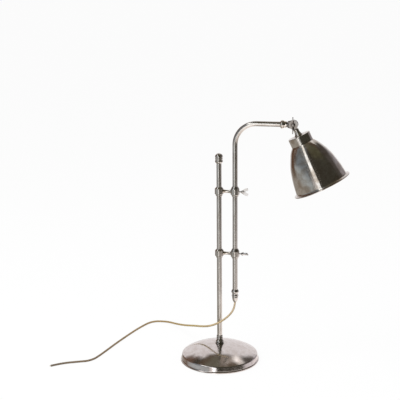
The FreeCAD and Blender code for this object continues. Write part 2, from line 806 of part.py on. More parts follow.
def inside_of(points):
    """The points of a sheet's inner face, square to the outer ones by the sheet's thickness."""
    inner = []
    for i, (r, z) in enumerate(points):
        before = points[max(i - 1, 0)]
        after = points[min(i + 1, len(points) - 1)]
        out = after[0] - before[0]
        rise = after[1] - before[1]
        share = SHEET_T / math.hypot(out, rise)
        inner.append((r + rise * share, z - out * share))
    return inner


def bell_curve(points):
    """A smooth edge in the XZ plane through points of the shade's own frame."""
    curve = Part.BSplineCurve()
    curve.interpolate([V(r, 0, z) for r, z in points])
    return curve.toShape()


def shade_bell():
    """The spun bell: a flange under the cup, a swelling wall and a flared lip with a rolled edge."""
    outer = down(placed(BELL_WALL, CUP_R, BELL_TOP))
    inner = inside_of(outer)
    mouth_z = -NECK_DROP - BELL_TOP - BELL_L
    bead_r = BELL_LIP_R - BELL_BEAD_R
    lip = [
        outer[-1],
        (outer[-1][0] + BELL_LIP_SAG, outer[-1][1] - BELL_LIP_H / 2, bead_r, mouth_z + 2 * BELL_BEAD_R),
        (BELL_LIP_R, mouth_z + BELL_BEAD_R, bead_r, mouth_z),
        (inner[-1][0] + BELL_LIP_SAG, inner[-1][1] - BELL_LIP_H / 2) + inner[-1],
    ]
    hole_r = HOLDER_R + BELL_HOLE_GAP
    flange = [inner[0], (hole_r, inner[0][1]), (hole_r, outer[0][1]), outer[0]]
    edges = [bell_curve(outer)] + edges_of(lip)[1:] + [bell_curve(inner[::-1])] + edges_of(flange)[1:]
    face = Part.Face(Part.Wire(edges))
    return hung(face.revolve(HERE, Z_AXIS, FULL_TURN))


# ---- lampholder and bulb ----------------------------------------------------------------------------
def shade_nipple():
    """The threaded tube that joins the stem, the cup and the lampholder."""
    return hung(ring(NIPPLE_R, NIPPLE_BORE_R, -NECK_DROP - NIPPLE_DOWN, NIPPLE_DOWN + NIPPLE_UP))


def shade_locknut():
    """The locknut under the cup."""
    z = -NECK_DROP - SHEET_T - LOCKNUT_T
    block = hexagon(LOCKNUT_FLATS, LOCKNUT_T, z)
    return hung(block.cut(Part.makeCylinder(NIPPLE_HOLE_R, LOCKNUT_T, V(0, 0, z))))


def lampholder_body():
    """The moulded holder: a cap in the cup, a brim over the bell's flange and a skirt below."""
    hat_r = HOLDER_R + HOLDER_HAT
    brim_r = hat_r + HOLDER_BRIM
    end = HOLDER_TOP + HOLDER_L
    nipple_end = NIPPLE_DOWN + SEAT_GAP
    return hung(
        turned(
            down(
                [
                    (NIPPLE_HOLE_R, HOLDER_TOP),
                    (hat_r - HOLDER_HAT_H, HOLDER_TOP),
                    (hat_r, HOLDER_TOP + HOLDER_HAT_H),
                    (brim_r, BELL_TOP - HOLDER_HAT_H),
                    (brim_r, BELL_TOP),
                    (HOLDER_R, BELL_TOP),
                    (HOLDER_R, end - HOLDER_CHAMFER),
                    (HOLDER_R - HOLDER_CHAMFER, end),
                    (HOLDER_BORE_R, end),
                    (HOLDER_BORE_R, HOLDER_FLOOR),
                    (NIPPLE_BORE_R, HOLDER_FLOOR),
                    (NIPPLE_BORE_R, nipple_end),
                    (NIPPLE_HOLE_R, nipple_end),
                ]
            )
        )
    )


def shade_ring():
    """The ring on the holder's skirt that clamps the bell's flange."""
    bore = HOLDER_R + SEAT_GAP
    edge = bore + RING_W
    top = BELL_TOP + SHEET_T + RING_GAP
    low = top + RING_T
    rim = [(edge, top), (edge, low - RING_CHAMFER), (edge - RING_CHAMFER, low)]
    return hung(turned(down([(bore, top)] + rim + [(bore, low)])))


def lampholder_shell():
    """The brass screw shell in the holder."""
    outer = HOLDER_BORE_R - SEAT_GAP
    return hung(ring(outer, outer - SHELL_T, -NECK_DROP - SHELL_TOP - SHELL_L, SHELL_L))


def lampholder_contact():
    """The sprung centre contact on the holder's floor."""
    tip = BULB_TOP - SEAT_GAP
    return hung(
        turned(
            down(
                [
                    (0, HOLDER_FLOOR),
                    (CONTACT_R, HOLDER_FLOOR),
                    (CONTACT_R, HOLDER_FLOOR + CONTACT_T),
                    (CONTACT_R / 2, tip),
                    (0, tip),
                ]
            )
        )
    )


def bulb_cap():
    """The bulb's screw cap: a shell with rounded turns, and its contact button."""
    button = BULB_TOP + BULB_CONTACT_H
    root_r = BULB_CAP_R - BULB_THREAD_DEPTH
    thread_end = THREAD_TOP + BULB_THREADS * BULB_PITCH
    skirt_r = BULB_CAP_R - BULB_THREAD_DEPTH / 4
    outline = [(0, BULB_TOP), (BULB_CONTACT_R / 2, BULB_TOP), (BULB_CONTACT_R, button), (root_r, THREAD_TOP)]
    for k in range(BULB_THREADS):
        turn_z = THREAD_TOP + k * BULB_PITCH
        outline.append((BULB_CAP_R, turn_z + BULB_PITCH / 2, root_r, turn_z + BULB_PITCH))
    outline += [(skirt_r, thread_end + BULB_THREAD_DEPTH), (skirt_r, GLOBE_TOP), (0, GLOBE_TOP)]
    return hung(turned(down(outline)))


def bulb_globe():
    """The round glass bulb, hollow, with its neck in the cap and its inner stem."""
    centre = GLOBE_TOP + GLOBE_DROP
    neck = BULB_CAP_R - GLASS_NECK_IN
    waist = neck + GLASS_T
    inner_r = GLOBE_R - GLASS_T
    rise = math.sqrt(1 - GLOBE_JOIN**2)
    waist_z = GLOBE_TOP + GLASS_NECK_L
    return hung(
        turned(
            down(
                [
                    (0, GLOBE_TOP),
                    (neck, GLOBE_TOP),
                    (waist, waist_z, GLOBE_R * GLOBE_JOIN, centre - GLOBE_R * rise),
                    (GLOBE_R, centre, 0, centre + GLOBE_R),
                    (0, centre + inner_r),
                    (inner_r, centre, inner_r * GLOBE_JOIN, centre - inner_r * rise),
                    (waist - GLASS_T, waist_z, neck - GLASS_T, GLOBE_TOP + GLASS_T),
                    (STEM_GLASS_R, GLOBE_TOP + GLASS_T),
                    (STEM_GLASS_R / 2, GLOBE_TOP + STEM_GLASS_L),
                    (0, GLOBE_TOP + STEM_GLASS_L),
                ]
            )
        )
    )


def bulb_filament():
    """The filament, held off the glass stem's end by its two supports."""
    top = -NECK_DROP - GLOBE_TOP - STEM_GLASS_L
    low = top - FILAMENT_DROP
    half = FILAMENT_SPAN / 2
    foot = STEM_GLASS_R / 4
    points = [V(-foot, 0, top), V(-half, 0, low), V(half, 0, low), V(foot, 0, top)]
    pieces = [rod_between(FILAMENT_R, a, b) for a, b in zip(points, points[1:])]
    joints = [Part.makeSphere(FILAMENT_R, p) for p in points[1:3]]
    wire = pieces[0].fuse(pieces[1:] + joints).removeSplitter()
    return hung(wire.cut(Part.makeCylinder(STEM_GLASS_R, STEM_GLASS_L, V(0, 0, top))))


def shade_lead():
    """The lead in the stem and nipple, down to the holder."""
    top = -STEM_TOP - STEM_CAP_T - SEAT_GAP
    return hung(rod_between(LEAD_R, V(0, 0, -NECK_DROP - HOLDER_FLOOR + SEAT_GAP), V(0, 0, top)))


# ---- cord -------------------------------------------------------------------------------------------
def cord_path():
    """The cord's straight runs joined by tangent arcs, each as large as its runs allow."""
    points = [V(*p) for p in ROUTE]
    edges = []
    radii = []
    at = points[0]
    for i in range(1, len(points) - 1):
        back = points[i - 1] - points[i]
        ahead = points[i + 1] - points[i]
        turn = math.pi - back.getAngle(ahead)
        cut = ARC_SHARE * min(back.Length, ahead.Length)
        radius = cut / math.tan(turn / 2)
        back.normalize()
        ahead.normalize()
        start = points[i] + back * cut
        end = points[i] + ahead * cut
        inward = back + ahead
        inward.normalize()
        middle = points[i] + inward * (radius / math.cos(turn / 2) - radius)
        edges.append(Part.LineSegment(at, start).toShape())
        edges.append(Part.Arc(start, middle, end).toShape())
        radii.append(radius)
        at = end
    edges.append(Part.LineSegment(at, points[-1]).toShape())
    print("cord radii:", " ".join("%.0f" % r for r in radii))
    return Part.Wire(edges)


def free_cord():
    """The free cord, from the gland to its cut end."""
    path = cord_path()
    start = V(*ROUTE[0])
    cord = swept(path, CORD_R, start, V(*ROUTE[1]) - start)
    fill = cord.Volume / (math.pi * CORD_R**2 * path.Length)
    print("cord length %.1f, volume over section x length %.5f" % (path.Length, fill))
    return cord


def cord_cores():
    """The two insulated cores that show at the cord's cut end."""
    end = V(*ROUTE[-1])
    way = end - V(*ROUTE[-2])
    way.normalize()
    side = way.cross(Z_AXIS) * (CORE_R + SEAT_GAP)
    return Part.makeCompound([rod_between(CORE_R, end + s, end + s + way * CORE_L) for s in (side, -side)])


PIECES = {
    "base_cover": base_cover,
    "base_weight": base_weight,
    "base_felt_pad": base_felt_pad,
    "base_stud": base_stud,
    "base_nut": base_nut,
    "base_washer": base_washer,
    "post_foot": post_foot,
    "post_tube": post_tube,
    "post_cap": post_cap,
    "arm_tube": arm_tube,
    "arm_lead": arm_lead,
    "arm_ferrule": arm_ferrule,
    "knuckle_fork": knuckle_fork,
    "knuckle_bolt": knuckle_bolt,
    "knuckle_washer": knuckle_washer,
    "knuckle_wing_nut": wing_nut,
    "rod_end_bead": rod_end_bead,
    "cord_gland": cord_gland,
    "shade_stem": shade_stem,
    "shade_cup": shade_cup,
    "shade_bell": shade_bell,
    "shade_nipple": shade_nipple,
    "shade_locknut": shade_locknut,
    "lampholder_body": lampholder_body,
    "shade_ring": shade_ring,
    "lampholder_shell": lampholder_shell,
    "lampholder_contact": lampholder_contact,
    "bulb_cap": bulb_cap,
    "bulb_globe": bulb_globe,
    "bulb_filament": bulb_filament,
    "shade_lead": shade_lead,
    "cord": free_cord,
    "cord_cores": cord_cores,
}


def main():
    """Makes every piece and writes it."""
    os.makedirs("parts", exist_ok=True)
    for node, make in PIECES.items():
        save(make(), node)
    for level, bar_z, turn in (("upper", UPPER_BAR_Z, 0), ("lower", LOWER_BAR_Z, LOWER_SCREW_TURN)):
        save(post_collar(bar_z), level + "_post_collar")
        save(link_bar(bar_z), level + "_link_bar")
        save(rod_collar(bar_z), level + "_rod_collar")
        save(thumb_screw(bar_z, turn), level + "_thumb_screw")
    save(Part.makeCompound([grub_screw(UPPER_BAR_Z), grub_screw(LOWER_BAR_Z)]), "post_collar_screws")


main()
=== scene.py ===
"""Dome shade desk lamp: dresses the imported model, lays its braided cord and sets the table and lights.

Metres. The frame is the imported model's own: the origin is the centre of the base's underside, +Z is up
and the arm points along +X.
"""

import logging
import math
import random
from dataclasses import dataclass, field
from enum import Enum

import bmesh
import bpy
from mathutils import Matrix, Vector, noise

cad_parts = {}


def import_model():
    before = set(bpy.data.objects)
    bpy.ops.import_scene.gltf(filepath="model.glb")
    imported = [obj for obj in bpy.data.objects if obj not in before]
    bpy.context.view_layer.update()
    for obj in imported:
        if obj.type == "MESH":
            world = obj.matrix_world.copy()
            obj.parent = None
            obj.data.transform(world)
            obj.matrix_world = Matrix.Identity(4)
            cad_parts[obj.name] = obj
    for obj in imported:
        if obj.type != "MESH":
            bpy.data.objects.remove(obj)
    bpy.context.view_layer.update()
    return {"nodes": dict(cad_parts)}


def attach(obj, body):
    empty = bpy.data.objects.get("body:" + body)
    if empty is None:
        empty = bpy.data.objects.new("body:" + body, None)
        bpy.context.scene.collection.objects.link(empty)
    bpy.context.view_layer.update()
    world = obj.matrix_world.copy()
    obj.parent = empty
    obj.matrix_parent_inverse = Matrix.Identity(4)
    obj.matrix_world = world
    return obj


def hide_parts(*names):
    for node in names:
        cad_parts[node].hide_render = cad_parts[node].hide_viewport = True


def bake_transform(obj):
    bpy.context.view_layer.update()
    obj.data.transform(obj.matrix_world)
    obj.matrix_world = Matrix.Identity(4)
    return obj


LOG = logging.getLogger("desk_lamp")

Point = tuple[float, float, float]
Colour = tuple[float, float, float]
ORIGIN: Point = (0.0, 0.0, 0.0)


class Grain(Enum):
    """The way that a piece's polishing and drawing lines run, as the frame that they are turned about."""

    UPRIGHT = "upright"
    ROD = "rod"
    SHADE = "shade"
    LEVEL = "level"


# ---- node graphs ------------------------------------------------------------------------------------
class Graph:
    """A node tree with short ways to add and join its nodes."""

    MIX_FIRST = 6
    MIX_SECOND = 7
    MIX_RESULT = 2

    def __init__(self, tree: bpy.types.NodeTree) -> None:
        """Starts on an empty tree.

        Args:
            tree: the tree of a material, a world or a group.
        """
        self.tree = tree
        self.tree.nodes.clear()

    def node(self, kind: str, **settings: object) -> bpy.types.Node:
        """Adds a node.

        Args:
            kind: the node's type, without its ShaderNode prefix.
            settings: its own settings by name.

        Returns:
            The new node.
        """
        full = kind if kind.startswith("NodeGroup") else "ShaderNode" + kind
        made = self.tree.nodes.new(full)
        for name, value in settings.items():
            setattr(made, name, value)
        return made

    def put(self, socket: bpy.types.NodeSocket, value: object) -> None:
        """Joins a socket to another one, or sets it to a plain value.

        Args:
            socket: an input.
            value: an output to join it to, a number, or three numbers.
        """
        if isinstance(value, bpy.types.NodeSocket):
            self.tree.links.new(value, socket)
        elif isinstance(value, tuple) and socket.type == "RGBA":
            socket.default_value = (*value, 1.0)
        else:
            socket.default_value = value

    def put_all(self, node: bpy.types.Node, entries: dict[str, object]) -> None:
        """Sets or joins several inputs of a node.

        Args:
            node: the node.
            entries: a value or a socket for each input's name.
        """
        for name, entry in entries.items():
            self.put(node.inputs[name], entry)

    def math(self, operation: str, *values: object) -> bpy.types.NodeSocket:
        """Adds a math node.

        Args:
            operation: its operation.
            values: its inputs, each a socket or a number.

        Returns:
            Its output.
        """
        made = self.node("Math", operation=operation)
        for socket, value in zip(made.inputs, values):
            self.put(socket, value)
        return made.outputs[0]

    def vector_math(self, operation: str, *values: object) -> bpy.types.Node:
        """Adds a vector math node.

        Args:
            operation: its operation.
            values: its inputs, each a socket or three numbers.

        Returns:
            The node.
        """
        made = self.node("VectorMath", operation=operation)
        for socket, value in zip(made.inputs, values):
            self.put(socket, value)
        return made

    def mix(self, factor: object, first: object, second: object) -> bpy.types.NodeSocket:
        """Mixes two colours.

        Args:
            factor: the share of the second one.
            first: a colour or socket.
            second: a colour or socket.

        Returns:
            The mixed colour.
        """
        made = self.node("Mix", data_type="RGBA")
        self.put(made.inputs["Factor"], factor)
        self.put(made.inputs[self.MIX_FIRST], first)
        self.put(made.inputs[self.MIX_SECOND], second)
        return made.outputs[self.MIX_RESULT]

    def span(
        self, value: object, low: float, high: float, to_low: float = 0.0, to_high: float = 1.0
    ) -> bpy.types.NodeSocket:
        """Maps a value from one span to another with a soft step.

        Args:
            value: the socket that is mapped.
            low: where the step starts.
            high: where it ends.
            to_low: the result before the step.
            to_high: the result after it.

        Returns:
            The mapped value.
        """
        made = self.node("MapRange", interpolation_type="SMOOTHSTEP")
        entries = {"Value": value, "From Min": low, "From Max": high, "To Min": to_low, "To Max": to_high}
        self.put_all(made, entries)
        return made.outputs["Result"]

    def noise(
        self, vector: object, scale: float, detail: float = 3.0, roughness: float = 0.5
    ) -> bpy.types.NodeSocket:
        """Adds a noise.

        Args:
            vector: where it is read.
            scale: its scale.
            detail: how many finer layers it has.
            roughness: how strong they are.

        Returns:
            Its value, from 0 to 1.
        """
        made = self.node("TexNoise")
        self.put_all(made, {"Vector": vector, "Scale": scale, "Detail": detail, "Roughness": roughness})
        return made.outputs["Fac"]

    def bump(self, height: bpy.types.NodeSocket, depth: float) -> bpy.types.NodeSocket:
        """Adds a bump.

        Args:
            height: how high the surface stands.
            depth: how many metres a height of 1 is.

        Returns:
            The bumped normal.
        """
        made = self.node("Bump")
        self.put_all(made, {"Strength": 1.0, "Distance": depth, "Height": height})
        return made.outputs[0]

    def place(self, group: bpy.types.NodeTree, **values: object) -> bpy.types.Node:
        """Places a node group.

        Args:
            group: the group.
            values: its inputs, with underscores for the spaces in their names.

        Returns:
            The group node.
        """
        made = self.node("Group")
        made.node_tree = group
        for name, value in values.items():
            self.put(made.inputs[name.replace("_", " ")], value)
        return made


class Effect:
    """A shader node group under construction, with named inputs and outputs."""

    def __init__(self, name: str, inputs: dict[str, str], outputs: dict[str, str]) -> None:
        """Makes the group's sockets.

        Args:
            name: the group's name.
            inputs: the kind of each input by its name.
            outputs: the kind of each output by its name.
        """
        self.tree = bpy.data.node_groups.new(name, "ShaderNodeTree")
        self.graph = Graph(self.tree)
        for side, sockets in (("INPUT", inputs), ("OUTPUT", outputs)):
            for label, kind in sockets.items():
                self.tree.interface.new_socket(name=label, in_out=side, socket_type="NodeSocket" + kind)
        self.given = self.graph.node("NodeGroupInput").outputs
        self.result = self.graph.node("NodeGroupOutput").inputs


class Effects:
    """The effects that several materials share, each built once."""

    CLOUDS = (0.38, 0.66)
    SPECK_SCALE = 900.0
    SPECKS = (0.66, 0.74)
    # the darkening of the grooves by ambient occlusion, which is painted shade
    GROOVE_SHADE_REACH = 0.003
    GROOVE_SHADE_SPAN = (0.25, 0.85)
    FILM_DULL = 0.5
    YARN_GAPS = (0.1, 0.55)
    SWIRL_SCALE = 400.0
    SWIRL = 0.004
    STRANDS = (0.3, 0.7)

    def __init__(self) -> None:
        """Builds every group."""
        self.round = self._round()
        self.polish = self._polish()
        self.tarnish = self._tarnish()
        self.braid = self._braid()
        self.fibre = self._fibre()
        self.patch = self._patch()

    def _round(self) -> bpy.types.NodeTree:
        """Coordinates that go round a turned piece without a seam.

        Returns:
            The group.
        """
        inputs = {"Vector": "Vector", "Around": "Float", "Along": "Float"}
        made = Effect("Round", inputs, {"Vector": "Vector"})
        g = made.graph
        split = g.node("SeparateXYZ")
        g.put(split.inputs[0], made.given["Vector"])
        flat = g.node("CombineXYZ")
        g.put(flat.inputs[0], split.outputs[0])
        g.put(flat.inputs[1], split.outputs[1])
        unit = g.vector_math("NORMALIZE", flat.outputs[0]).outputs[0]
        wide = g.vector_math("SCALE", unit)
        g.put(wide.inputs["Scale"], made.given["Around"])
        high = g.node("CombineXYZ")
        g.put(high.inputs[2], g.math("MULTIPLY", split.outputs[2], made.given["Along"]))
        g.put(made.result["Vector"], g.vector_math("ADD", wide.outputs[0], high.outputs[0]).outputs[0])
        return made.tree

    def _polish(self) -> bpy.types.NodeTree:
        """Fine lines left by the polishing wheel, and the soft waves under them.

        Returns:
            The group.
        """
        names = ("Around", "Along", "Wave Around", "Wave Along", "Wave Share")
        inputs = {"Vector": "Vector"} | {name: "Float" for name in names}
        made = Effect("Polish", inputs, {"Height": "Float", "Lines": "Float"})
        g = made.graph
        given = made.given
        fine = g.place(self.round, Vector=given["Vector"], Around=given["Around"], Along=given["Along"])
        lines = g.noise(fine.outputs[0], 1.0, 4.0, 0.6)
        across, along = given["Wave Around"], given["Wave Along"]
        broad = g.place(self.round, Vector=given["Vector"], Around=across, Along=along)
        waves = g.noise(broad.outputs[0], 1.0, 1.5, 0.4)
        height = g.math("MULTIPLY_ADD", waves, given["Wave Share"], lines)
        g.put(made.result["Height"], height)
        g.put(made.result["Lines"], lines)
        return made.tree

    def _tarnish(self) -> bpy.types.NodeTree:
        """An old polished surface: a warm film in clouds, darker freckles, and painted shade darkening the
        grooves, drawn from ambient occlusion.

        Returns:
            The group.
        """
        colours = {"Metal": "Color", "Film": "Color", "Grime": "Color"}
        amounts = {"Film Amount": "Float", "Freckles": "Float", "Cloud Scale": "Float", "Groove": "Float"}
        outputs = {"Color": "Color", "Dull": "Float"}
        made = Effect("Tarnish", {"Vector": "Vector"} | colours | amounts, outputs)
        g = made.graph
        clouds = g.noise(made.given["Vector"], made.given["Cloud Scale"], 5.0, 0.55)
        film = g.math("MULTIPLY", g.span(clouds, *self.CLOUDS), made.given["Film Amount"])
        specks = g.noise(made.given["Vector"], self.SPECK_SCALE, 2.0, 0.5)
        freckle = g.math("MULTIPLY", g.span(specks, *self.SPECKS), made.given["Freckles"])
        # ambient occlusion darkens the grooves: painted shade, in the same colour as the freckles
        close = g.node("AmbientOcclusion", samples=6, only_local=False)
        g.put(close.inputs["Distance"], self.GROOVE_SHADE_REACH)
        shut = g.span(close.outputs["AO"], *self.GROOVE_SHADE_SPAN, 1.0, 0.0)
        groove_shade = g.math("MULTIPLY", shut, made.given["Groove"])
        freckles_and_groove_shade = g.math("MAXIMUM", freckle, groove_shade)
        filmed = g.mix(film, made.given["Metal"], made.given["Film"])
        g.put(made.result["Color"], g.mix(freckles_and_groove_shade, filmed, made.given["Grime"]))
        g.put(made.result["Dull"], g.math("MAXIMUM", g.math("MULTIPLY", film, self.FILM_DULL), freckles_and_groove_shade))
        return made.tree

    def _braid(self) -> bpy.types.NodeTree:
        """Crossed yarns of a braided sleeve, over one and under one.

        Returns:
            The group.
        """
        outputs = {"Height": "Float", "Yarn": "Float", "GapShade": "Float"}
        made = Effect("Braid", {"Vector": "Vector", "Yarns": "Float"}, outputs)
        g = made.graph
        split = g.node("SeparateXYZ")
        g.put(split.inputs[0], made.given["Vector"])
        across = []
        for sign in (1.0, -1.0):
            lean = g.math("MULTIPLY_ADD", split.outputs[1], sign, split.outputs[0])
            across.append(g.math("MULTIPLY", lean, made.given["Yarns"]))
        cells = [g.math("FLOOR", way) for way in across]
        parts = [g.math("FRACT", way) for way in across]
        crowns = [g.math("SINE", g.math("MULTIPLY", part, math.pi)) for part in parts]
        over = g.math("FLOORED_MODULO", g.math("ADD", cells[0], cells[1]), 2.0)
        turned = g.math("SUBTRACT", 1.0, over)
        height = g.math("MULTIPLY_ADD", crowns[0], over, g.math("MULTIPLY", crowns[1], turned))
        name = g.math("MULTIPLY_ADD", cells[0], over, g.math("MULTIPLY", cells[1], turned))
        shade = g.node("TexWhiteNoise", noise_dimensions="1D")
        g.put(shade.inputs["W"], name)
        g.put(made.result["Height"], height)
        g.put(made.result["Yarn"], shade.outputs["Value"])
        # the gaps between the yarns give a mask that is painted darker: painted shade
        g.put(made.result["GapShade"], g.span(height, *self.YARN_GAPS, 1.0, 0.0))
        return made.tree

    def _fibre(self) -> bpy.types.NodeTree:
        """Matted fibres, as of felt.

        Returns:
            The group.
        """
        made = Effect("Fibre", {"Vector": "Vector", "Scale": "Float"}, {"Height": "Float", "Tone": "Float"})
        g = made.graph
        bend = g.node("TexNoise")
        g.put(bend.inputs["Vector"], made.given["Vector"])
        g.put(bend.inputs["Scale"], self.SWIRL_SCALE)
        swirl = g.vector_math("SCALE", bend.outputs["Color"])
        g.put(swirl.inputs["Scale"], self.SWIRL)
        where = g.vector_math("ADD", made.given["Vector"], swirl.outputs[0]).outputs[0]
        strands = g.noise(where, made.given["Scale"], 6.0, 0.75)
        g.put(made.result["Height"], strands)
        g.put(made.result["Tone"], g.span(strands, *self.STRANDS))
        return made.tree

    def _patch(self) -> bpy.types.NodeTree:
        """A soft-edged patch of the room, from a bearing and a height in degrees.

        Returns:
            The group.
        """
        edges = {"Left": "Float", "Right": "Float", "Low": "Float", "High": "Float", "Soft": "Float"}
        made = Effect("Patch", {"Bearing": "Float", "Elevation": "Float"} | edges, {"Mask": "Float"})
        g = made.graph
        sides = []
        for value, low, high in (("Bearing", "Left", "Right"), ("Elevation", "Low", "High")):
            past = g.math("SUBTRACT", made.given[value], made.given[low])
            left = g.math("SUBTRACT", made.given[high], made.given[value])
            for distance in (past, left):
                share = g.math("DIVIDE", distance, made.given["Soft"])
                sides.append(g.span(g.math("MULTIPLY_ADD", share, 0.5, 0.5), 0.0, 1.0))
        mask = sides[0]
        for side in sides[1:]:
            mask = g.math("MULTIPLY", mask, side)
        g.put(made.result["Mask"], mask)
        return made.tree


# ---- finishes ---------------------------------------------------------------------------------------
def material_graph(name: str) -> tuple[bpy.types.Material, Graph, bpy.types.Node]:
    """Starts a material with a Principled BSDF.

    Args:
        name: the material's name.

    Returns:
        The material, its graph and its shader.
    """
    material = bpy.data.materials.new(name)
    material.use_nodes = True
    graph = Graph(material.node_tree)
    shader = graph.node("BsdfPrincipled")
    graph.put(graph.node("OutputMaterial").inputs["Surface"], shader.outputs[0])
    return material, graph, shader


def own_frame(graph: Graph, turn: Point = ORIGIN, shift: Point = ORIGIN) -> bpy.types.NodeSocket:
    """Object coordinates in a piece's own frame.

    Args:
        graph: the material's graph.
        turn: the frame's turn in radians.
        shift: where the turned origin goes.

    Returns:
        The coordinates.
    """
    source = graph.node("TexCoord")
    mapped = graph.node("Mapping", vector_type="POINT")
    graph.put(mapped.inputs["Vector"], source.outputs["Object"])
    graph.put(mapped.inputs["Rotation"], turn)
    graph.put(mapped.inputs["Location"], shift)
    return mapped.outputs[0]


@dataclass(frozen=True)
class NickelFinish:
    """Polished metal, plated or bare, aged to a slightly clouded mirror. Its values default to nickel's."""

    LINES = (0.35, 0.7)
    LINE_DULL = 0.25
    DULLEST = 1.1

    name: str
    grain: Grain
    metal: Colour = (0.66, 0.63, 0.585)
    film: Colour = (0.47, 0.385, 0.30)
    # colour of the freckles and of the painted shade in the grooves
    grime_and_shade: Colour = (0.07, 0.05, 0.035)
    film_amount: float = 0.55
    freckles: float = 0.5
    cloud_scale: float = 42.0
    # strength of the painted shade in the grooves
    groove_shade: float = 0.75
    rough: tuple[float, float] = (0.08, 0.26)
    around: float = 2.0
    along: float = 3200.0
    wave_around: float = 5.0
    wave_along: float = 14.0
    wave_share: float = 2.2
    depth: float = 0.00005

    def frame(self) -> tuple[Point, Point]:
        """The turn and shift of the piece's own frame.

        Returns:
            The turn in radians and the shift in metres.
        """
        if self.grain is Grain.ROD:
            return ORIGIN, (-Sizes.ROD_X, 0.0, 0.0)
        if self.grain is Grain.SHADE:
            turn = Matrix.Rotation(Sizes.TILT, 3, "Y")
            return (0.0, Sizes.TILT, 0.0), tuple(-(turn @ Vector(Sizes.PIVOT)))
        if self.grain is Grain.LEVEL:
            turn = Matrix.Rotation(-math.pi / 2, 3, "Y")
            return (0.0, -math.pi / 2, 0.0), tuple(-(turn @ Vector(Sizes.PIVOT)))
        return ORIGIN, ORIGIN

    def material(self, effects: Effects) -> bpy.types.Material:
        """Builds the material.

        Args:
            effects: the shared groups.

        Returns:
            The material.
        """
        material, g, shader = material_graph(self.name)
        where = own_frame(g, *self.frame())
        skin = g.place(
            effects.tarnish,
            Vector=where,
            Metal=self.metal,
            Film=self.film,
            Grime=self.grime_and_shade,
            Film_Amount=self.film_amount,
            Freckles=self.freckles,
            Cloud_Scale=self.cloud_scale,
            Groove=self.groove_shade,
        )
        polish = g.place(
            effects.polish,
            Vector=where,
            Around=self.around,
            Along=self.along,
            Wave_Around=self.wave_around,
            Wave_Along=self.wave_along,
            Wave_Share=self.wave_share,
        )
        low, high = self.rough
        lines = g.span(polish.outputs["Lines"], *self.LINES)
        worn = g.math("MULTIPLY_ADD", lines, self.LINE_DULL, skin.outputs["Dull"])
        g.put(shader.inputs["Base Color"], skin.outputs["Color"])
        g.put(shader.inputs["Metallic"], 1.0)
        g.put(shader.inputs["Roughness"], g.span(worn, 0.0, self.DULLEST, low, high))
        g.put(shader.inputs["Normal"], g.bump(polish.outputs["Height"], self.depth))
        return material


@dataclass(frozen=True)
class SolidFinish:
    """A plain solid stuff, such as cast iron, moulded resin or insulation, with a fine uneven skin."""

    FILM_AMOUNT = 0.8
    FRECKLES = 0.2
    # strength of the painted shade in the grooves, and its colour as a share of the second colour
    GROOVE_SHADE = 0.5
    GRIME_AND_SHADE_SHARE = 0.3
    CLOUD_SHARE = 0.25
    GRAIN = (0.3, 0.7)

    name: str
    colour: Colour
    second: Colour
    scale: float = 300.0
    rough: tuple[float, float] = (0.4, 0.6)
    metallic: float = 0.0
    depth: float = 0.0001

    def material(self, effects: Effects) -> bpy.types.Material:
        """Builds the material.

        Args:
            effects: the shared groups.

        Returns:
            The material.
        """
        material, g, shader = material_graph(self.name)
        where = own_frame(g)
        grain = g.noise(where, self.scale, 4.0, 0.6)
        skin = g.place(
            effects.tarnish,
            Vector=where,
            Metal=self.colour,
            Film=self.second,
            Grime=tuple(self.GRIME_AND_SHADE_SHARE * c for c in self.second),
            Film_Amount=self.FILM_AMOUNT,
            Freckles=self.FRECKLES,
            Cloud_Scale=self.scale * self.CLOUD_SHARE,
            Groove=self.GROOVE_SHADE,
        )
        g.put(shader.inputs["Base Color"], skin.outputs["Color"])
        g.put(shader.inputs["Metallic"], self.metallic)
        g.put(shader.inputs["Roughness"], g.span(grain, *self.GRAIN, *self.rough))
        g.put(shader.inputs["Normal"], g.bump(grain, self.depth))
        return material


@dataclass(frozen=True)
class GlassFinish:
    """Clear glass with a little dust on it."""

    name: str = "bulb_glass"
    dust: Colour = (0.9, 0.88, 0.84)
    haze_scale: float = 180.0
    haze: tuple[float, float] = (0.2, 0.9)
    rough: tuple[float, float] = (0.02, 0.12)

    def material(self, effects: Effects) -> bpy.types.Material:
        """Builds the material.

        Args:
            effects: the shared groups.

        Returns:
            The material.
        """
        material, g, shader = material_graph(self.name)
        where = own_frame(g)
        haze = g.place(effects.fibre, Vector=where, Scale=self.haze_scale)
        g.put(shader.inputs["Base Color"], g.mix(haze.outputs["Tone"], (1.0, 1.0, 1.0), self.dust))
        g.put(shader.inputs["Roughness"], g.span(haze.outputs["Tone"], *self.haze, *self.rough))
        g.put(shader.inputs["Transmission Weight"], 1.0)
        return material


@dataclass(frozen=True)
class FeltFinish:
    """Dense wool felt."""

    name: str = "felt"
    colour: Colour = (0.035, 0.06, 0.04)
    light: Colour = (0.085, 0.12, 0.085)
    fibre_scale: float = 700.0
    depth: float = 0.0006
    rough: float = 0.95
    fuzz: float = 0.25

    def material(self, effects: Effects) -> bpy.types.Material:
        """Builds the material.

        Args:
            effects: the shared groups.

        Returns:
            The material.
        """
        material, g, shader = material_graph(self.name)
        where = own_frame(g)
        fibre = g.place(effects.fibre, Vector=where, Scale=self.fibre_scale)
        g.put(shader.inputs["Base Color"], g.mix(fibre.outputs["Tone"], self.colour, self.light))
        g.put(shader.inputs["Roughness"], self.rough)
        g.put(shader.inputs["Sheen Weight"], self.fuzz)
        g.put(shader.inputs["Normal"], g.bump(fibre.outputs["Height"], self.depth))
        return material


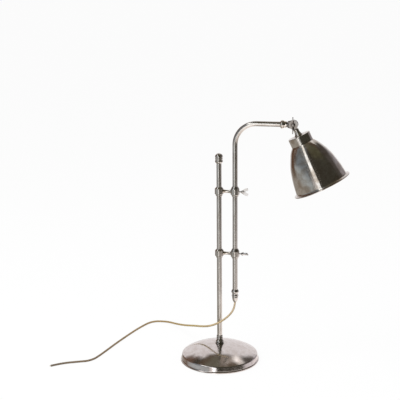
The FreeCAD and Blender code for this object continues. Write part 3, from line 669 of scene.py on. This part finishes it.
@dataclass(frozen=True)
class BraidFinish:
    """A cotton braid whose colour changes along the cord, as painted light and shade: lighter near the lamp,
    darker towards the cut end.
    """

    name: str = "cord_braid"
    yarns: float = 11.0
    yarn_spread: float = 0.4
    # how much darker the gaps between the yarns are painted: painted shade
    gap_shade: float = 0.25
    darkest: float = 0.62
    middle: float = 0.5
    depth: float = 0.00035
    rough: tuple[float, float] = (0.65, 0.85)
    # painted light and shade along the cord, from the lamp end to the cut end
    light_and_shade_stops: tuple[tuple[float, Colour], ...] = (
        (0.00, (0.74, 0.58, 0.40)),
        (0.10, (0.68, 0.52, 0.29)),
        (0.24, (0.58, 0.44, 0.18)),
        (0.44, (0.48, 0.34, 0.15)),
        (0.58, (0.42, 0.285, 0.14)),
        (0.80, (0.30, 0.205, 0.115)),
        (1.00, (0.21, 0.16, 0.11)),
    )

    def material(self, effects: Effects) -> bpy.types.Material:
        """Builds the material.

        Args:
            effects: the shared groups.

        Returns:
            The material.
        """
        material, g, shader = material_graph(self.name)
        sleeve = g.node("UVMap", uv_map=Tube.WRAP)
        length = g.node("UVMap", uv_map=Tube.LENGTH)
        weave = g.place(effects.braid, Vector=sleeve.outputs[0], Yarns=self.yarns)
        split = g.node("SeparateXYZ")
        g.put(split.inputs[0], length.outputs[0])
        # this ramp lays the painted light and shade along the cord
        ramp = g.node("ValToRGB")
        ramp.color_ramp.elements[0].position = 0.0
        ramp.color_ramp.elements[1].position = 1.0
        for place, colour in self.light_and_shade_stops[1:-1]:
            ramp.color_ramp.elements.new(place)
        for element, (place, colour) in zip(ramp.color_ramp.elements, self.light_and_shade_stops):
            element.color = (*colour, 1.0)
        g.put(ramp.inputs[0], split.outputs[1])
        # the gaps between the yarns are painted darker, as painted shade
        gap_shading = g.math("MULTIPLY", weave.outputs["GapShade"], -self.gap_shade)
        tone = g.math("MULTIPLY_ADD", weave.outputs["Yarn"], self.yarn_spread, gap_shading)
        darker = g.mix(self.darkest, (0.0, 0.0, 0.0), ramp.outputs[0])
        colour = g.mix(g.math("ADD", tone, self.middle), darker, ramp.outputs[0])
        g.put(shader.inputs["Base Color"], colour)
        g.put(shader.inputs["Roughness"], g.span(weave.outputs["Yarn"], 0.0, 1.0, *self.rough))
        g.put(shader.inputs["Normal"], g.bump(weave.outputs["Height"], self.depth))
        return material


# ---- sizes that several pieces share ----------------------------------------------------------------
class Sizes:
    """The model's sizes that the scene needs, in metres and radians."""

    ROD_X = 0.040
    PIVOT = (0.182, 0.0, 0.6123)
    TILT = math.radians(26.0)
    GLAND_MOUTH = (0.040, 0.0, 0.1572)


class Finishes:
    """Every material of the lamp, by its name."""

    # what the tubes and their turned fittings share
    TUBE = {
        "metal": (0.57, 0.555, 0.53),
        "film": (0.41, 0.375, 0.335),
        "rough": (0.15, 0.30),
        "depth": 0.00002,
        "wave_around": 1.6,
        "wave_along": 30.0,
    }
    ALL = (
        NickelFinish(
            "nickel_base",
            Grain.UPRIGHT,
            metal=(0.66, 0.625, 0.615),
            film=(0.53, 0.475, 0.445),
            film_amount=0.6,
            freckles=0.9,
            cloud_scale=75.0,
            rough=(0.11, 0.29),
            along=2600.0,
            wave_around=3.0,
            wave_along=9.0,
            wave_share=1.2,
        ),
        NickelFinish("nickel_post", Grain.UPRIGHT, **TUBE),
        NickelFinish("nickel_rod", Grain.ROD, **TUBE),
        NickelFinish("nickel_arm", Grain.ROD, **(TUBE | {"along": 300.0, "around": 40.0})),
        NickelFinish("nickel_knuckle", Grain.LEVEL, wave_around=2.0, wave_along=40.0),
        NickelFinish(
            "nickel_shade",
            Grain.SHADE,
            metal=(0.57, 0.55, 0.52),
            film=(0.37, 0.315, 0.26),
            film_amount=0.8,
            freckles=0.8,
            cloud_scale=60.0,
            rough=(0.12, 0.29),
            wave_around=9.0,
            wave_along=7.0,
            wave_share=6.0,
        ),
        NickelFinish(
            "nickel_bright",
            Grain.ROD,
            metal=(0.74, 0.735, 0.73),
            film=(0.50, 0.475, 0.44),
            film_amount=0.6,
            rough=(0.34, 0.5),
            along=700.0,
            around=900.0,
            depth=0.00001,
        ),
        # the knuckle's nickel, made far darker than the rest of the nickel: painted shade for the knuckle's
        # dark look
        NickelFinish(
            "nickel_painted_dark",
            Grain.LEVEL,
            metal=(0.22, 0.21, 0.20),
            film=(0.125, 0.105, 0.09),
            film_amount=0.7,
            rough=(0.12, 0.28),
            along=700.0,
            around=900.0,
            depth=0.00001,
        ),
        NickelFinish(
            "steel_fixings",
            Grain.UPRIGHT,
            metal=(0.50, 0.50, 0.50),
            film=(0.33, 0.29, 0.25),
            rough=(0.25, 0.5),
        ),
        NickelFinish(
            "brass_contact",
            Grain.SHADE,
            metal=(0.80, 0.62, 0.30),
            film=(0.50, 0.34, 0.15),
            rough=(0.2, 0.42),
        ),
        NickelFinish(
            "bulb_cap_tin",
            Grain.SHADE,
            metal=(0.74, 0.73, 0.71),
            film=(0.55, 0.50, 0.42),
            rough=(0.2, 0.42),
        ),
        SolidFinish("cast_iron", (0.09, 0.085, 0.08), (0.05, 0.045, 0.04), 260.0, (0.5, 0.8), 0.4, 0.0004),
        SolidFinish("moulded_holder", (0.045, 0.03, 0.022), (0.025, 0.018, 0.014), 500.0, (0.22, 0.4)),
        SolidFinish("lead_sleeve", (0.06, 0.055, 0.05), (0.035, 0.03, 0.028), 600.0, (0.45, 0.7)),
        SolidFinish("core_sleeve", (0.55, 0.48, 0.36), (0.40, 0.33, 0.24), 600.0, (0.5, 0.7)),
        SolidFinish("filament_wire", (0.42, 0.40, 0.38), (0.25, 0.23, 0.21), 2000.0, (0.3, 0.5), 1.0),
        GlassFinish(),
        FeltFinish(),
        BraidFinish(),
    )

    def __init__(self, effects: Effects) -> None:
        """Builds every material.

        Args:
            effects: the shared groups.
        """
        self.made = {finish.name: finish.material(effects) for finish in self.ALL}

    def dress(self, piece: bpy.types.Object, name: str) -> None:
        """Gives a piece one finish all over.

        Args:
            piece: a model node or a piece of the scene.
            name: the finish's name.
        """
        if not piece.material_slots:
            piece.data.materials.append(self.made[name])
        for slot in piece.material_slots:
            slot.material = self.made[name]


# ---- meshes -----------------------------------------------------------------------------------------
@dataclass
class Tube:
    """A round sleeve along a line, closed at both ends, with maps for its wrap and its length."""

    WRAP = "wrap"
    LENGTH = "length"
    line: list[Vector]
    radius: float
    sides: int = 20
    rounding: float = 0.0004

    def rings(self) -> list[tuple[Vector, float]]:
        """The line's points with the sleeve's radius at each, the ends rounded over.

        Returns:
            Each ring's centre and radius.
        """
        first = (self.line[1] - self.line[0]).normalized()
        last = (self.line[-1] - self.line[-2]).normalized()
        small = self.radius - self.rounding
        body = [(point, self.radius) for point in self.line[1:-1]]
        start = [(self.line[0], small), (self.line[0] + first * self.rounding, self.radius)]
        end = [(self.line[-1] - last * self.rounding, self.radius), (self.line[-1], small)]
        return start + body + end

    def build(self, name: str) -> bpy.types.Object:
        """Makes the mesh.

        Args:
            name: the object's name.

        Returns:
            The object.
        """
        rings = self.rings()
        mesh = bmesh.new()
        wrap = mesh.loops.layers.uv.new(self.WRAP)
        length = mesh.loops.layers.uv.new(self.LENGTH)
        girth = 2 * math.pi * self.radius
        way = (rings[1][0] - rings[0][0]).normalized()
        side = way.orthogonal().normalized()
        loops: list[list[bmesh.types.BMVert]] = []
        runs: list[float] = []
        run = 0.0
        for i, (centre, radius) in enumerate(rings):
            ahead = rings[min(i + 1, len(rings) - 1)][0] - rings[max(i - 1, 0)][0]
            if ahead.length > 0:
                fresh = ahead.normalized()
                side = (way.rotation_difference(fresh) @ side).normalized()
                way = fresh
            up = way.cross(side)
            angles = [2 * math.pi * k / self.sides for k in range(self.sides)]
            rim = [centre + (side * math.cos(angle) + up * math.sin(angle)) * radius for angle in angles]
            loops.append([mesh.verts.new(place) for place in rim])
            run += (centre - rings[max(i - 1, 0)][0]).length
            runs.append(run)
        for i in range(len(loops) - 1):
            for k in range(self.sides):
                after = (k + 1) % self.sides
                face = mesh.faces.new((loops[i][k], loops[i][after], loops[i + 1][after], loops[i + 1][k]))
                face.smooth = True
                places = ((k, i), (k + 1, i), (k + 1, i + 1), (k, i + 1))
                for corner, (around, row) in zip(face.loops, places):
                    corner[wrap].uv = (around / self.sides, runs[row] / girth)
                    corner[length].uv = (around / self.sides, runs[row] / run)
        for ring in (list(reversed(loops[0])), loops[-1]):
            face = mesh.faces.new(ring)
            for corner in face.loops:
                corner[wrap].uv = (0.5, 0.5)
                corner[length].uv = (0.5, 0.0 if ring[0] in loops[0] else 1.0)
        return link_mesh(mesh, name)


def link_mesh(mesh: bmesh.types.BMesh, name: str) -> bpy.types.Object:
    """Puts a finished mesh in the scene.

    Args:
        mesh: the mesh, which is freed.
        name: the object's name.

    Returns:
        The object.
    """
    bmesh.ops.recalc_face_normals(mesh, faces=mesh.faces)
    data = bpy.data.meshes.new(name)
    mesh.to_mesh(data)
    mesh.free()
    made = bpy.data.objects.new(name, data)
    bpy.context.scene.collection.objects.link(made)
    return made


def spread(line: list[Vector], step: float) -> list[Vector]:
    """Points at even steps along a line.

    Args:
        line: the line's own points.
        step: about how far apart the new ones are.

    Returns:
        The new points, both ends kept.
    """
    runs = [0.0]
    for a, b in zip(line, line[1:]):
        runs.append(runs[-1] + (b - a).length)
    count = max(2, round(runs[-1] / step))
    made = []
    at = 0
    for k in range(count + 1):
        want = runs[-1] * k / count
        while at < len(line) - 2 and runs[at + 1] < want:
            at += 1
        share = (want - runs[at]) / max(runs[at + 1] - runs[at], 1e-9)
        made.append(line[at].lerp(line[at + 1], min(1.0, share)))
    return made


# ---- the lamp ---------------------------------------------------------------------------------------
@dataclass
class View:
    """The photograph's camera."""

    place: Point = (0.4782, -2.3534, 1.0033)
    lens: float = 90.0
    heading: float = math.radians(1.129)
    dip: float = math.radians(13.664)
    roll: float = math.radians(-0.506)

    def build(self) -> None:
        """Makes the camera and looks through it."""
        bearing = math.atan2(-self.place[1], -self.place[0]) + self.heading
        level_share = math.cos(self.dip)
        ahead_x, ahead_y = math.cos(bearing) * level_share, math.sin(bearing) * level_share
        ahead = Vector((ahead_x, ahead_y, -math.sin(self.dip)))
        right = Vector((math.sin(bearing), -math.cos(bearing), 0.0))
        up = right.cross(ahead)
        level = math.cos(self.roll) * right + math.sin(self.roll) * up
        upright = -math.sin(self.roll) * right + math.cos(self.roll) * up
        data = bpy.data.cameras.new("camera")
        data.lens = self.lens
        data.sensor_width = 36.0
        camera = bpy.data.objects.new("camera", data)
        bpy.context.scene.collection.objects.link(camera)
        turn = Matrix((level, upright, -ahead)).transposed().to_4x4()
        camera.matrix_world = Matrix.Translation(self.place) @ turn
        bpy.context.scene.camera = camera


@dataclass
class Cord:
    """The braided cord from the gland to its cut end, with its two cores."""

    route: tuple[Point, ...] = (
        (0.0400, 0.0000, 0.1660),
        (0.0400, 0.0000, 0.1460),
        (0.0310, -0.0075, 0.1260),
        (0.0080, -0.0195, 0.1080),
        (-0.0200, -0.0090, 0.0910),
        (-0.0500, 0.0260, 0.0740),
        (-0.0840, 0.0760, 0.0550),
        (-0.1200, 0.1300, 0.0330),
        (-0.1580, 0.1840, 0.0140),
        (-0.1980, 0.2280, 0.0026),
        (-0.2400, 0.2220, 0.0026),
        (-0.2600, 0.1700, 0.0026),
        (-0.2760, 0.1080, 0.0026),
        (-0.2915, 0.0380, 0.0026),
        (-0.3045, -0.0320, 0.0026),
        (-0.3170, -0.0840, 0.0026),
        (-0.3550, -0.1000, 0.0026),
        (-0.3870, -0.1160, 0.0026),
        (-0.4080, -0.1360, 0.0026),
    )
    radius: float = 0.0025
    length: float = 0.87
    core_radius: float = 0.0008
    core_length: float = 0.003
    core_apart: float = 0.00095
    core_sunk: float = 0.002
    step: float = 0.002
    core_step: float = 0.0005

    def centreline(self) -> list[Vector]:
        """The smooth line that the cord follows.

        Returns:
            Points along it.
        """
        data = bpy.data.curves.new("cord_line", "CURVE")
        data.dimensions = "3D"
        data.resolution_u = 24
        spline = data.splines.new("NURBS")
        spline.points.add(len(self.route) - 1)
        for point, where in zip(spline.points, self.route):
            point.co = (*where, 1.0)
        spline.order_u = 3
        spline.use_endpoint_u = True
        holder = bpy.data.objects.new("cord_line", data)
        bpy.context.scene.collection.objects.link(holder)
        bpy.context.view_layer.update()
        read = bpy.data.meshes.new_from_object(holder)
        line = [vertex.co.copy() for vertex in read.vertices]
        bpy.data.meshes.remove(read)
        bpy.data.objects.remove(holder)
        bpy.data.curves.remove(data)
        return spread(line, self.step)

    def cores(self, line: list[Vector]) -> list[bpy.types.Object]:
        """The insulated cores that stand out of the cut end.

        Args:
            line: the cord's centreline.

        Returns:
            The two cores.
        """
        way = (line[-1] - line[-2]).normalized()
        aside = way.cross(Vector((0.0, 0.0, 1.0))).normalized() * self.core_apart
        made = []
        for name, sign in (("cord_core_left", -1.0), ("cord_core_right", 1.0)):
            start = line[-1] + aside * sign - way * self.core_sunk
            end = line[-1] + aside * sign + way * (self.core_length - 0.0001)
            points = spread([start, end], self.core_step)
            made.append(Tube(points, self.core_radius - 0.00002, 14, 0.0002).build(name))
        return made

    def build(self, finishes: Finishes) -> None:
        """Args:
            finishes: the lamp's materials.
        """
        line = self.centreline()
        sleeve = Tube(line, self.radius, 24).build("braided_cord")
        finishes.dress(sleeve, "cord_braid")
        cores = self.cores(line)
        for core in cores:
            finishes.dress(core, "core_sleeve")
            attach(core, "base")
        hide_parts("cord_cores")
        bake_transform(sleeve)
        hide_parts("cord")


@dataclass
class Base:
    """The spun dome with its weight, felt and fixings."""

    felt_radius: float = 0.0969
    felt_height: float = 0.00195
    felt_sides: int = 220
    felt_waves: float = 5.0
    felt_uneven: float = 0.0006
    felt_fray: float = 0.00015
    felt_rim: float = 0.95
    finishes_of: dict[str, str] = field(
        default_factory=lambda: {
            "base_cover": "nickel_base",
            "base_weight": "cast_iron",
            "base_stud": "steel_fixings",
            "base_nut": "steel_fixings",
            "base_washer": "steel_fixings",
        }
    )

    def felt(self) -> bpy.types.Object:
        """The felt pad, with a soft and slightly uneven cut edge.

        Returns:
            The pad.
        """
        rows = [(0.0, 0.0), (0.35, 0.0), (0.7, 0.0), (0.93, 0.0), (0.9965, 0.05), (1.0, 0.3)]
        rows += [(1.0, 0.7), (0.9965, 0.95), (0.93, 1.0), (0.7, 1.0), (0.35, 1.0), (0.0, 1.0)]
        sides = self.felt_sides
        chance = random.Random(4)
        mesh = bmesh.new()
        rings: list[list[bmesh.types.BMVert]] = []
        turns = [2 * math.pi * k / sides for k in range(sides)]
        waves = self.felt_waves
        uneven = [noise.noise(Vector((waves * math.cos(turn), waves * math.sin(turn), 0.0))) for turn in turns]
        for share, height in rows[1:-1]:
            ring = []
            for k, turn in enumerate(turns):
                reach = self.felt_radius * share
                if share > self.felt_rim:
                    reach -= self.felt_uneven * (0.5 + 0.5 * uneven[k]) + chance.uniform(0.0, self.felt_fray)
                place = (reach * math.cos(turn), reach * math.sin(turn), height * self.felt_height)
                ring.append(mesh.verts.new(place))
            rings.append(ring)
        for low, high in zip(rings, rings[1:]):
            for k in range(sides):
                mesh.faces.new((low[k], low[(k + 1) % sides], high[(k + 1) % sides], high[k])).smooth = True
        mesh.faces.new(rings[0])
        mesh.faces.new(rings[-1])
        return link_mesh(mesh, "felt_pad")

    def build(self, nodes: dict[str, bpy.types.Object], finishes: Finishes) -> None:
        """Dresses the base and lays its felt.

        Args:
            nodes: the model's nodes by name.
            finishes: the lamp's materials.
        """
        for node, finish in self.finishes_of.items():
            finishes.dress(nodes[node], finish)
        pad = self.felt()
        finishes.dress(pad, "felt")
        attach(pad, "base")
        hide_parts("base_felt_pad")


@dataclass
class Dressed:
    """A sub-assembly whose pieces keep the model's shapes and get their finishes here."""

    finishes_of: dict[str, str]

    def build(self, nodes: dict[str, bpy.types.Object], finishes: Finishes) -> None:
        """Dresses the pieces.

        Args:
            nodes: the model's nodes by name.
            finishes: the lamp's materials.
        """
        for node, finish in self.finishes_of.items():
            finishes.dress(nodes[node], finish)


class Post(Dressed):
    """The fixed post with its foot and cap."""

    def __init__(self) -> None:
        """Names the post's finishes."""
        super().__init__({name: "nickel_post" for name in ("post_foot", "post_tube", "post_cap")})


class Clamps(Dressed):
    """The two clamps: collars, bars and screws."""

    def __init__(self) -> None:
        """Names the clamps' finishes."""
        kinds = {
            "post_collar": "nickel_post",
            "rod_collar": "nickel_rod",
            "link_bar": "nickel_knuckle",
            "thumb_screw": "nickel_bright",
        }
        names = {f"{level}_{kind}": finish for level in ("upper", "lower") for kind, finish in kinds.items()}
        super().__init__(names | {"post_collar_screws": "steel_fixings"})


@dataclass
class Arm(Dressed):
    """The bent rod with its fittings, its knuckle and the lead inside it."""

    finishes_of: dict[str, str] = field(
        default_factory=lambda: {
            "arm_tube": "nickel_arm",
            "rod_end_bead": "nickel_rod",
            "cord_gland": "nickel_rod",
            "arm_ferrule": "nickel_knuckle",
            "knuckle_fork": "nickel_painted_dark",
            "knuckle_bolt": "nickel_painted_dark",
            "knuckle_washer": "nickel_painted_dark",
            "knuckle_wing_nut": "nickel_painted_dark",
        }
    )
    arm_z: float = 0.6123
    bend: float = 0.053
    lead_radius: float = 0.00218
    lead_from: float = 0.1664
    lead_to: float = 0.1684
    lead_short: float = 0.0001
    lead_step: float = 0.004
    bend_steps: int = 24

    def lead_line(self) -> list[Vector]:
        """The lead's centreline: up the rod, round the bend and along the arm.

        Returns:
            Points along it.
        """
        x = Sizes.ROD_X
        start = Vector((x, 0.0, self.lead_from + self.lead_short))
        end = Vector((self.lead_to - self.lead_short, 0.0, self.arm_z))
        points = [start, Vector((x, 0.0, self.arm_z - self.bend))]
        for k in range(1, self.bend_steps):
            turn = math.pi / 2 * k / self.bend_steps
            out = self.bend * (1 - math.cos(turn))
            points.append(Vector((x + out, 0.0, self.arm_z - self.bend * (1 - math.sin(turn)))))
        points += [Vector((x + self.bend, 0.0, self.arm_z)), end]
        return spread(points, self.lead_step)

    def build(self, nodes: dict[str, bpy.types.Object], finishes: Finishes) -> None:
        """Dresses the arm and threads its lead.

        Args:
            nodes: the model's nodes by name.
            finishes: the lamp's materials.
        """
        super().build(nodes, finishes)
        lead = Tube(self.lead_line(), self.lead_radius, 20).build("arm_lead_sleeve")
        finishes.dress(lead, "lead_sleeve")
        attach(lead, "arm")
        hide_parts("arm_lead")


@dataclass
class Shade(Dressed):
    """The bell shade with its stem, cup, lampholder, bulb and lead."""

    finishes_of: dict[str, str] = field(
        default_factory=lambda: {
            "shade_stem": "nickel_shade",
            "shade_cup": "nickel_shade",
            "shade_bell": "nickel_shade",
            "shade_nipple": "steel_fixings",
            "shade_locknut": "steel_fixings",
            "shade_ring": "moulded_holder",
            "lampholder_body": "moulded_holder",
            "lampholder_shell": "brass_contact",
            "lampholder_contact": "brass_contact",
            "bulb_cap": "bulb_cap_tin",
            "bulb_globe": "bulb_glass",
            "bulb_filament": "filament_wire",
        }
    )
    lead_radius: float = 0.00218
    lead_top: float = 0.01425
    lead_end: float = 0.04855
    lead_step: float = 0.002

    def lead_line(self) -> list[Vector]:
        """The lead's centreline, down the stem.

        Returns:
            Points along it.
        """
        way = Vector((math.sin(Sizes.TILT), 0.0, -math.cos(Sizes.TILT)))
        start = Vector(Sizes.PIVOT)
        return spread([start + way * self.lead_top, start + way * self.lead_end], self.lead_step)

    def build(self, nodes: dict[str, bpy.types.Object], finishes: Finishes) -> None:
        """Dresses the shade and threads its lead.

        Args:
            nodes: the model's nodes by name.
            finishes: the lamp's materials.
        """
        super().build(nodes, finishes)
        lead = Tube(self.lead_line(), self.lead_radius, 20).build("shade_lead_sleeve")
        finishes.dress(lead, "lead_sleeve")
        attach(lead, "shade")
        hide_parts("shade_lead")


# ---- the table and the light ------------------------------------------------------------------------
@dataclass(frozen=True)
class RoomPatch:
    """One light or dark area of the room, as polished metal sees it, in degrees about the camera's side.

    A patch with a lean keeps only what lies along a slanted line, square to the lean and as wide as given.
    """

    colour: Colour
    left: float
    right: float
    low: float
    high: float
    soft: float = 8.0
    lean: Point | None = None
    width: float = 0.0


@dataclass
class Studio:
    """The pale table, the room that the metal reflects and the soft light."""

    toward: float = math.radians(11.49)
    room: Colour = (0.060, 0.054, 0.040)
    fill: Colour = (0.78, 0.78, 0.78)
    key_power: float = 38.0
    key_place: Point = (-0.9, -1.0, 2.4)
    key_aim: Point = (0.0, 0.0, 0.2)
    key_size: float = 1.6
    ragged: float = 14.0
    ragged_scale: float = 7.0
    lean_soft: float = 1.5
    table_corners: tuple[tuple[float, float], ...] = ((-1.2, -0.9), (1.3, -0.9), (4.5, 30.0), (-18.0, 30.0))
    table_dark: Colour = (0.88, 0.88, 0.88)
    table_light: Colour = (0.9, 0.9, 0.9)
    table_white: float = 0.9
    patches: tuple[RoomPatch, ...] = (
        # pale wall behind the lamp, which the back of the dome shows
        RoomPatch((0.95, 0.91, 0.91), -215.0, -146.0, -18.0, 57.0, 5.0),
        RoomPatch((0.95, 0.91, 0.91), 146.0, 215.0, -18.0, 57.0, 5.0),
        # brown edge of the ceiling
        RoomPatch((0.12, 0.085, 0.055), -215.0, 215.0, 58.0, 100.0, 3.0),
        # olive middle of the ceiling, with a paler part at the back
        RoomPatch((0.17, 0.155, 0.115), -215.0, 70.0, 65.0, 100.0, 5.0),
        RoomPatch((0.42, 0.36, 0.31), 140.0, 190.0, 64.0, 80.0, 7.0),
        # brown things at the left, towards the back
        RoomPatch((0.17, 0.095, 0.06), -146.0, -100.0, -30.0, 46.0, 7.0),
        RoomPatch((0.24, 0.135, 0.085), -104.0, -82.0, 8.0, 46.0, 8.0),
        # grey-blue daylight from the left
        RoomPatch((0.25, 0.275, 0.30), -98.0, -36.0, -25.0, 60.0, 10.0),
        RoomPatch((0.55, 0.58, 0.59), -112.0, -32.0, -19.0, -3.0, 7.0),
        # olive patch in front, overhead
        RoomPatch((0.13, 0.125, 0.075), -10.0, 84.0, 50.0, 78.0, 10.0),
        # from dark above to pale below at the right
        RoomPatch((0.10, 0.085, 0.075), 84.0, 140.0, 28.0, 54.0, 5.0),
        RoomPatch((0.40, 0.37, 0.39), 107.0, 148.0, -30.0, 27.0, 6.0),
        RoomPatch((0.78, 0.73, 0.75), 76.0, 140.0, -30.0, -4.0, 9.0),
        # tabletop, dull at the left and bright at the right
        RoomPatch((0.46, 0.42, 0.37), -215.0, -34.0, -100.0, -17.0, 5.0),
        RoomPatch((1.35, 1.24, 1.19), -34.0, 215.0, -100.0, -18.0, 5.0),
        # windows: a pale one, then the white ones
        RoomPatch((0.95, 0.89, 0.86), -31.0, -19.0, -14.0, 24.0, 4.0),
        RoomPatch((1.7, 1.62, 1.55), 128.0, 149.0, 53.0, 63.0, 6.0),
        RoomPatch((2.4, 2.4, 2.4), -20.5, -12.5, -40.0, 9.0, 3.0),
        RoomPatch((2.4, 2.4, 2.4), -100.0, 0.0, 8.0, 74.0, 4.0, (0.8266, 0.2045, 0.5245), 8.0),
    )

    def off_line(self, graph: Graph, view: bpy.types.NodeSocket, lean: Point) -> bpy.types.NodeSocket:
        """How far a direction lies off a slanted line.

        Args:
            graph: the world's graph.
            view: the direction.
            lean: the line's own normal, to the camera's right, towards the camera and up.

        Returns:
            The angle in degrees.
        """
        right = Vector((math.cos(self.toward), math.sin(self.toward), 0.0))
        front = Vector((math.sin(self.toward), -math.cos(self.toward), 0.0))
        square = right * lean[0] + front * lean[1] + Vector((0.0, 0.0, lean[2]))
        share = graph.vector_math("DOT_PRODUCT", view, tuple(square.normalized()))
        return graph.math("MULTIPLY", graph.math("ARCSINE", share.outputs["Value"]), 180.0 / math.pi)

    def world(self, effects: Effects) -> None:
        """Makes the room's light.

        Args:
            effects: the shared groups.
        """
        world = bpy.data.worlds.new("room")
        bpy.context.scene.world = world
        world.use_nodes = True
        g = Graph(world.node_tree)
        view = g.node("TexCoord").outputs["Generated"]
        right = g.vector_math("DOT_PRODUCT", view, (math.cos(self.toward), math.sin(self.toward), 0.0))
        front = g.vector_math("DOT_PRODUCT", view, (math.sin(self.toward), -math.cos(self.toward), 0.0))
        up = g.vector_math("DOT_PRODUCT", view, (0.0, 0.0, 1.0))
        degrees = 180.0 / math.pi
        wobble = g.node("TexNoise")
        g.put_all(wobble, {"Vector": view, "Scale": self.ragged_scale, "Detail": 3.0})
        split = g.node("SeparateXYZ")
        g.put(split.inputs[0], wobble.outputs["Color"])
        plain = g.math("MULTIPLY", g.math("ARCTAN2", right.outputs["Value"], front.outputs["Value"]), degrees)
        half = self.ragged / 2
        bearing = g.math("ADD", plain, g.math("MULTIPLY_ADD", split.outputs[0], self.ragged, -half))
        rise = g.math("MULTIPLY", g.math("ARCSINE", up.outputs["Value"]), degrees)
        height = g.math("ADD", rise, g.math("MULTIPLY_ADD", split.outputs[1], self.ragged, -half))
        colour = self.room
        for patch in self.patches:
            mask = g.place(
                effects.patch,
                Bearing=bearing,
                Elevation=height,
                Left=patch.left,
                Right=patch.right,
                Low=patch.low,
                High=patch.high,
                Soft=patch.soft,
            ).outputs[0]
            if patch.lean is not None:
                aside = g.math("ABSOLUTE", self.off_line(g, view, patch.lean))
                edge = patch.width / 2
                inside = g.span(aside, edge - self.lean_soft, edge + self.lean_soft, 1.0, 0.0)
                mask = g.math("MULTIPLY", mask, inside)
            colour = g.mix(mask, colour, patch.colour)
        path = g.node("LightPath")
        lit = g.mix(path.outputs["Is Glossy Ray"], self.fill, colour)
        seen = g.math("MAXIMUM", path.outputs["Is Camera Ray"], path.outputs["Is Transmission Ray"])
        sky = g.node("Background")
        g.put(sky.inputs["Color"], g.mix(seen, lit, (1.0, 1.0, 1.0)))
        g.put(g.node("OutputWorld").inputs["Surface"], sky.outputs[0])

    def table(self) -> None:
        """Makes the table, which the camera sees as almost white with the lamp's shadow on it."""
        mesh = bmesh.new()
        mesh.faces.new([mesh.verts.new((x, y, 0.0)) for x, y in self.table_corners])
        table = link_mesh(mesh, "table")
        material = bpy.data.materials.new("table_top")
        material.use_nodes = True
        g = Graph(material.node_tree)
        where = g.node("TexCoord").outputs["Object"]
        paint = g.node("BsdfPrincipled")
        g.put(paint.inputs["Base Color"], g.mix(g.noise(where, 30.0), self.table_dark, self.table_light))
        g.put(paint.inputs["Roughness"], 0.9)
        white = g.node("Emission")
        g.put(white.inputs["Color"], (1.0, 1.0, 1.0))
        path = g.node("LightPath")
        blend = g.node("MixShader")
        g.put(blend.inputs[0], g.math("MULTIPLY", path.outputs["Is Camera Ray"], self.table_white))
        g.put(blend.inputs[1], paint.outputs[0])
        g.put(blend.inputs[2], white.outputs[0])
        g.put(g.node("OutputMaterial").inputs["Surface"], blend.outputs[0])
        table.data.materials.append(material)
        table.visible_glossy = False

    def lamp(self, name: str, place: Point, aim: Point, size: float, power: float) -> None:
        """Makes one soft area light.

        Args:
            name: its name.
            place: where it hangs.
            aim: where it points.
            size: its width.
            power: its power in watts.
        """
        data = bpy.data.lights.new(name, "AREA")
        data.size = size
        data.energy = power
        light = bpy.data.objects.new(name, data)
        light.visible_glossy = False
        light.location = place
        light.rotation_euler = (Vector(aim) - Vector(place)).to_track_quat("-Z", "Y").to_euler()
        bpy.context.scene.collection.objects.link(light)

    def build(self, effects: Effects) -> None:
        """Makes the whole studio.

        Args:
            effects: the shared groups.
        """
        self.world(effects)
        self.table()
        self.lamp("key", self.key_place, self.key_aim, self.key_size, self.key_power)
        bpy.context.scene.view_settings.view_transform = "Standard"


# ---- making -----------------------------------------------------------------------------------------
def main() -> None:
    """Builds the camera, the lamp and its studio."""
    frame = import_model()
    nodes = frame["nodes"]
    effects = Effects()
    finishes = Finishes(effects)
    View().build()
    LOG.info("camera is set")
    Cord().build(finishes)
    LOG.info("cord is laid")
    for part in (Base(), Post(), Clamps(), Arm(), Shade()):
        part.build(nodes, finishes)
        LOG.info("%s is dressed", type(part).__name__)
    Studio().build(effects)
    LOG.info("studio is set")


if __name__ == "__main__":
    logging.basicConfig(level=logging.INFO)
    main()
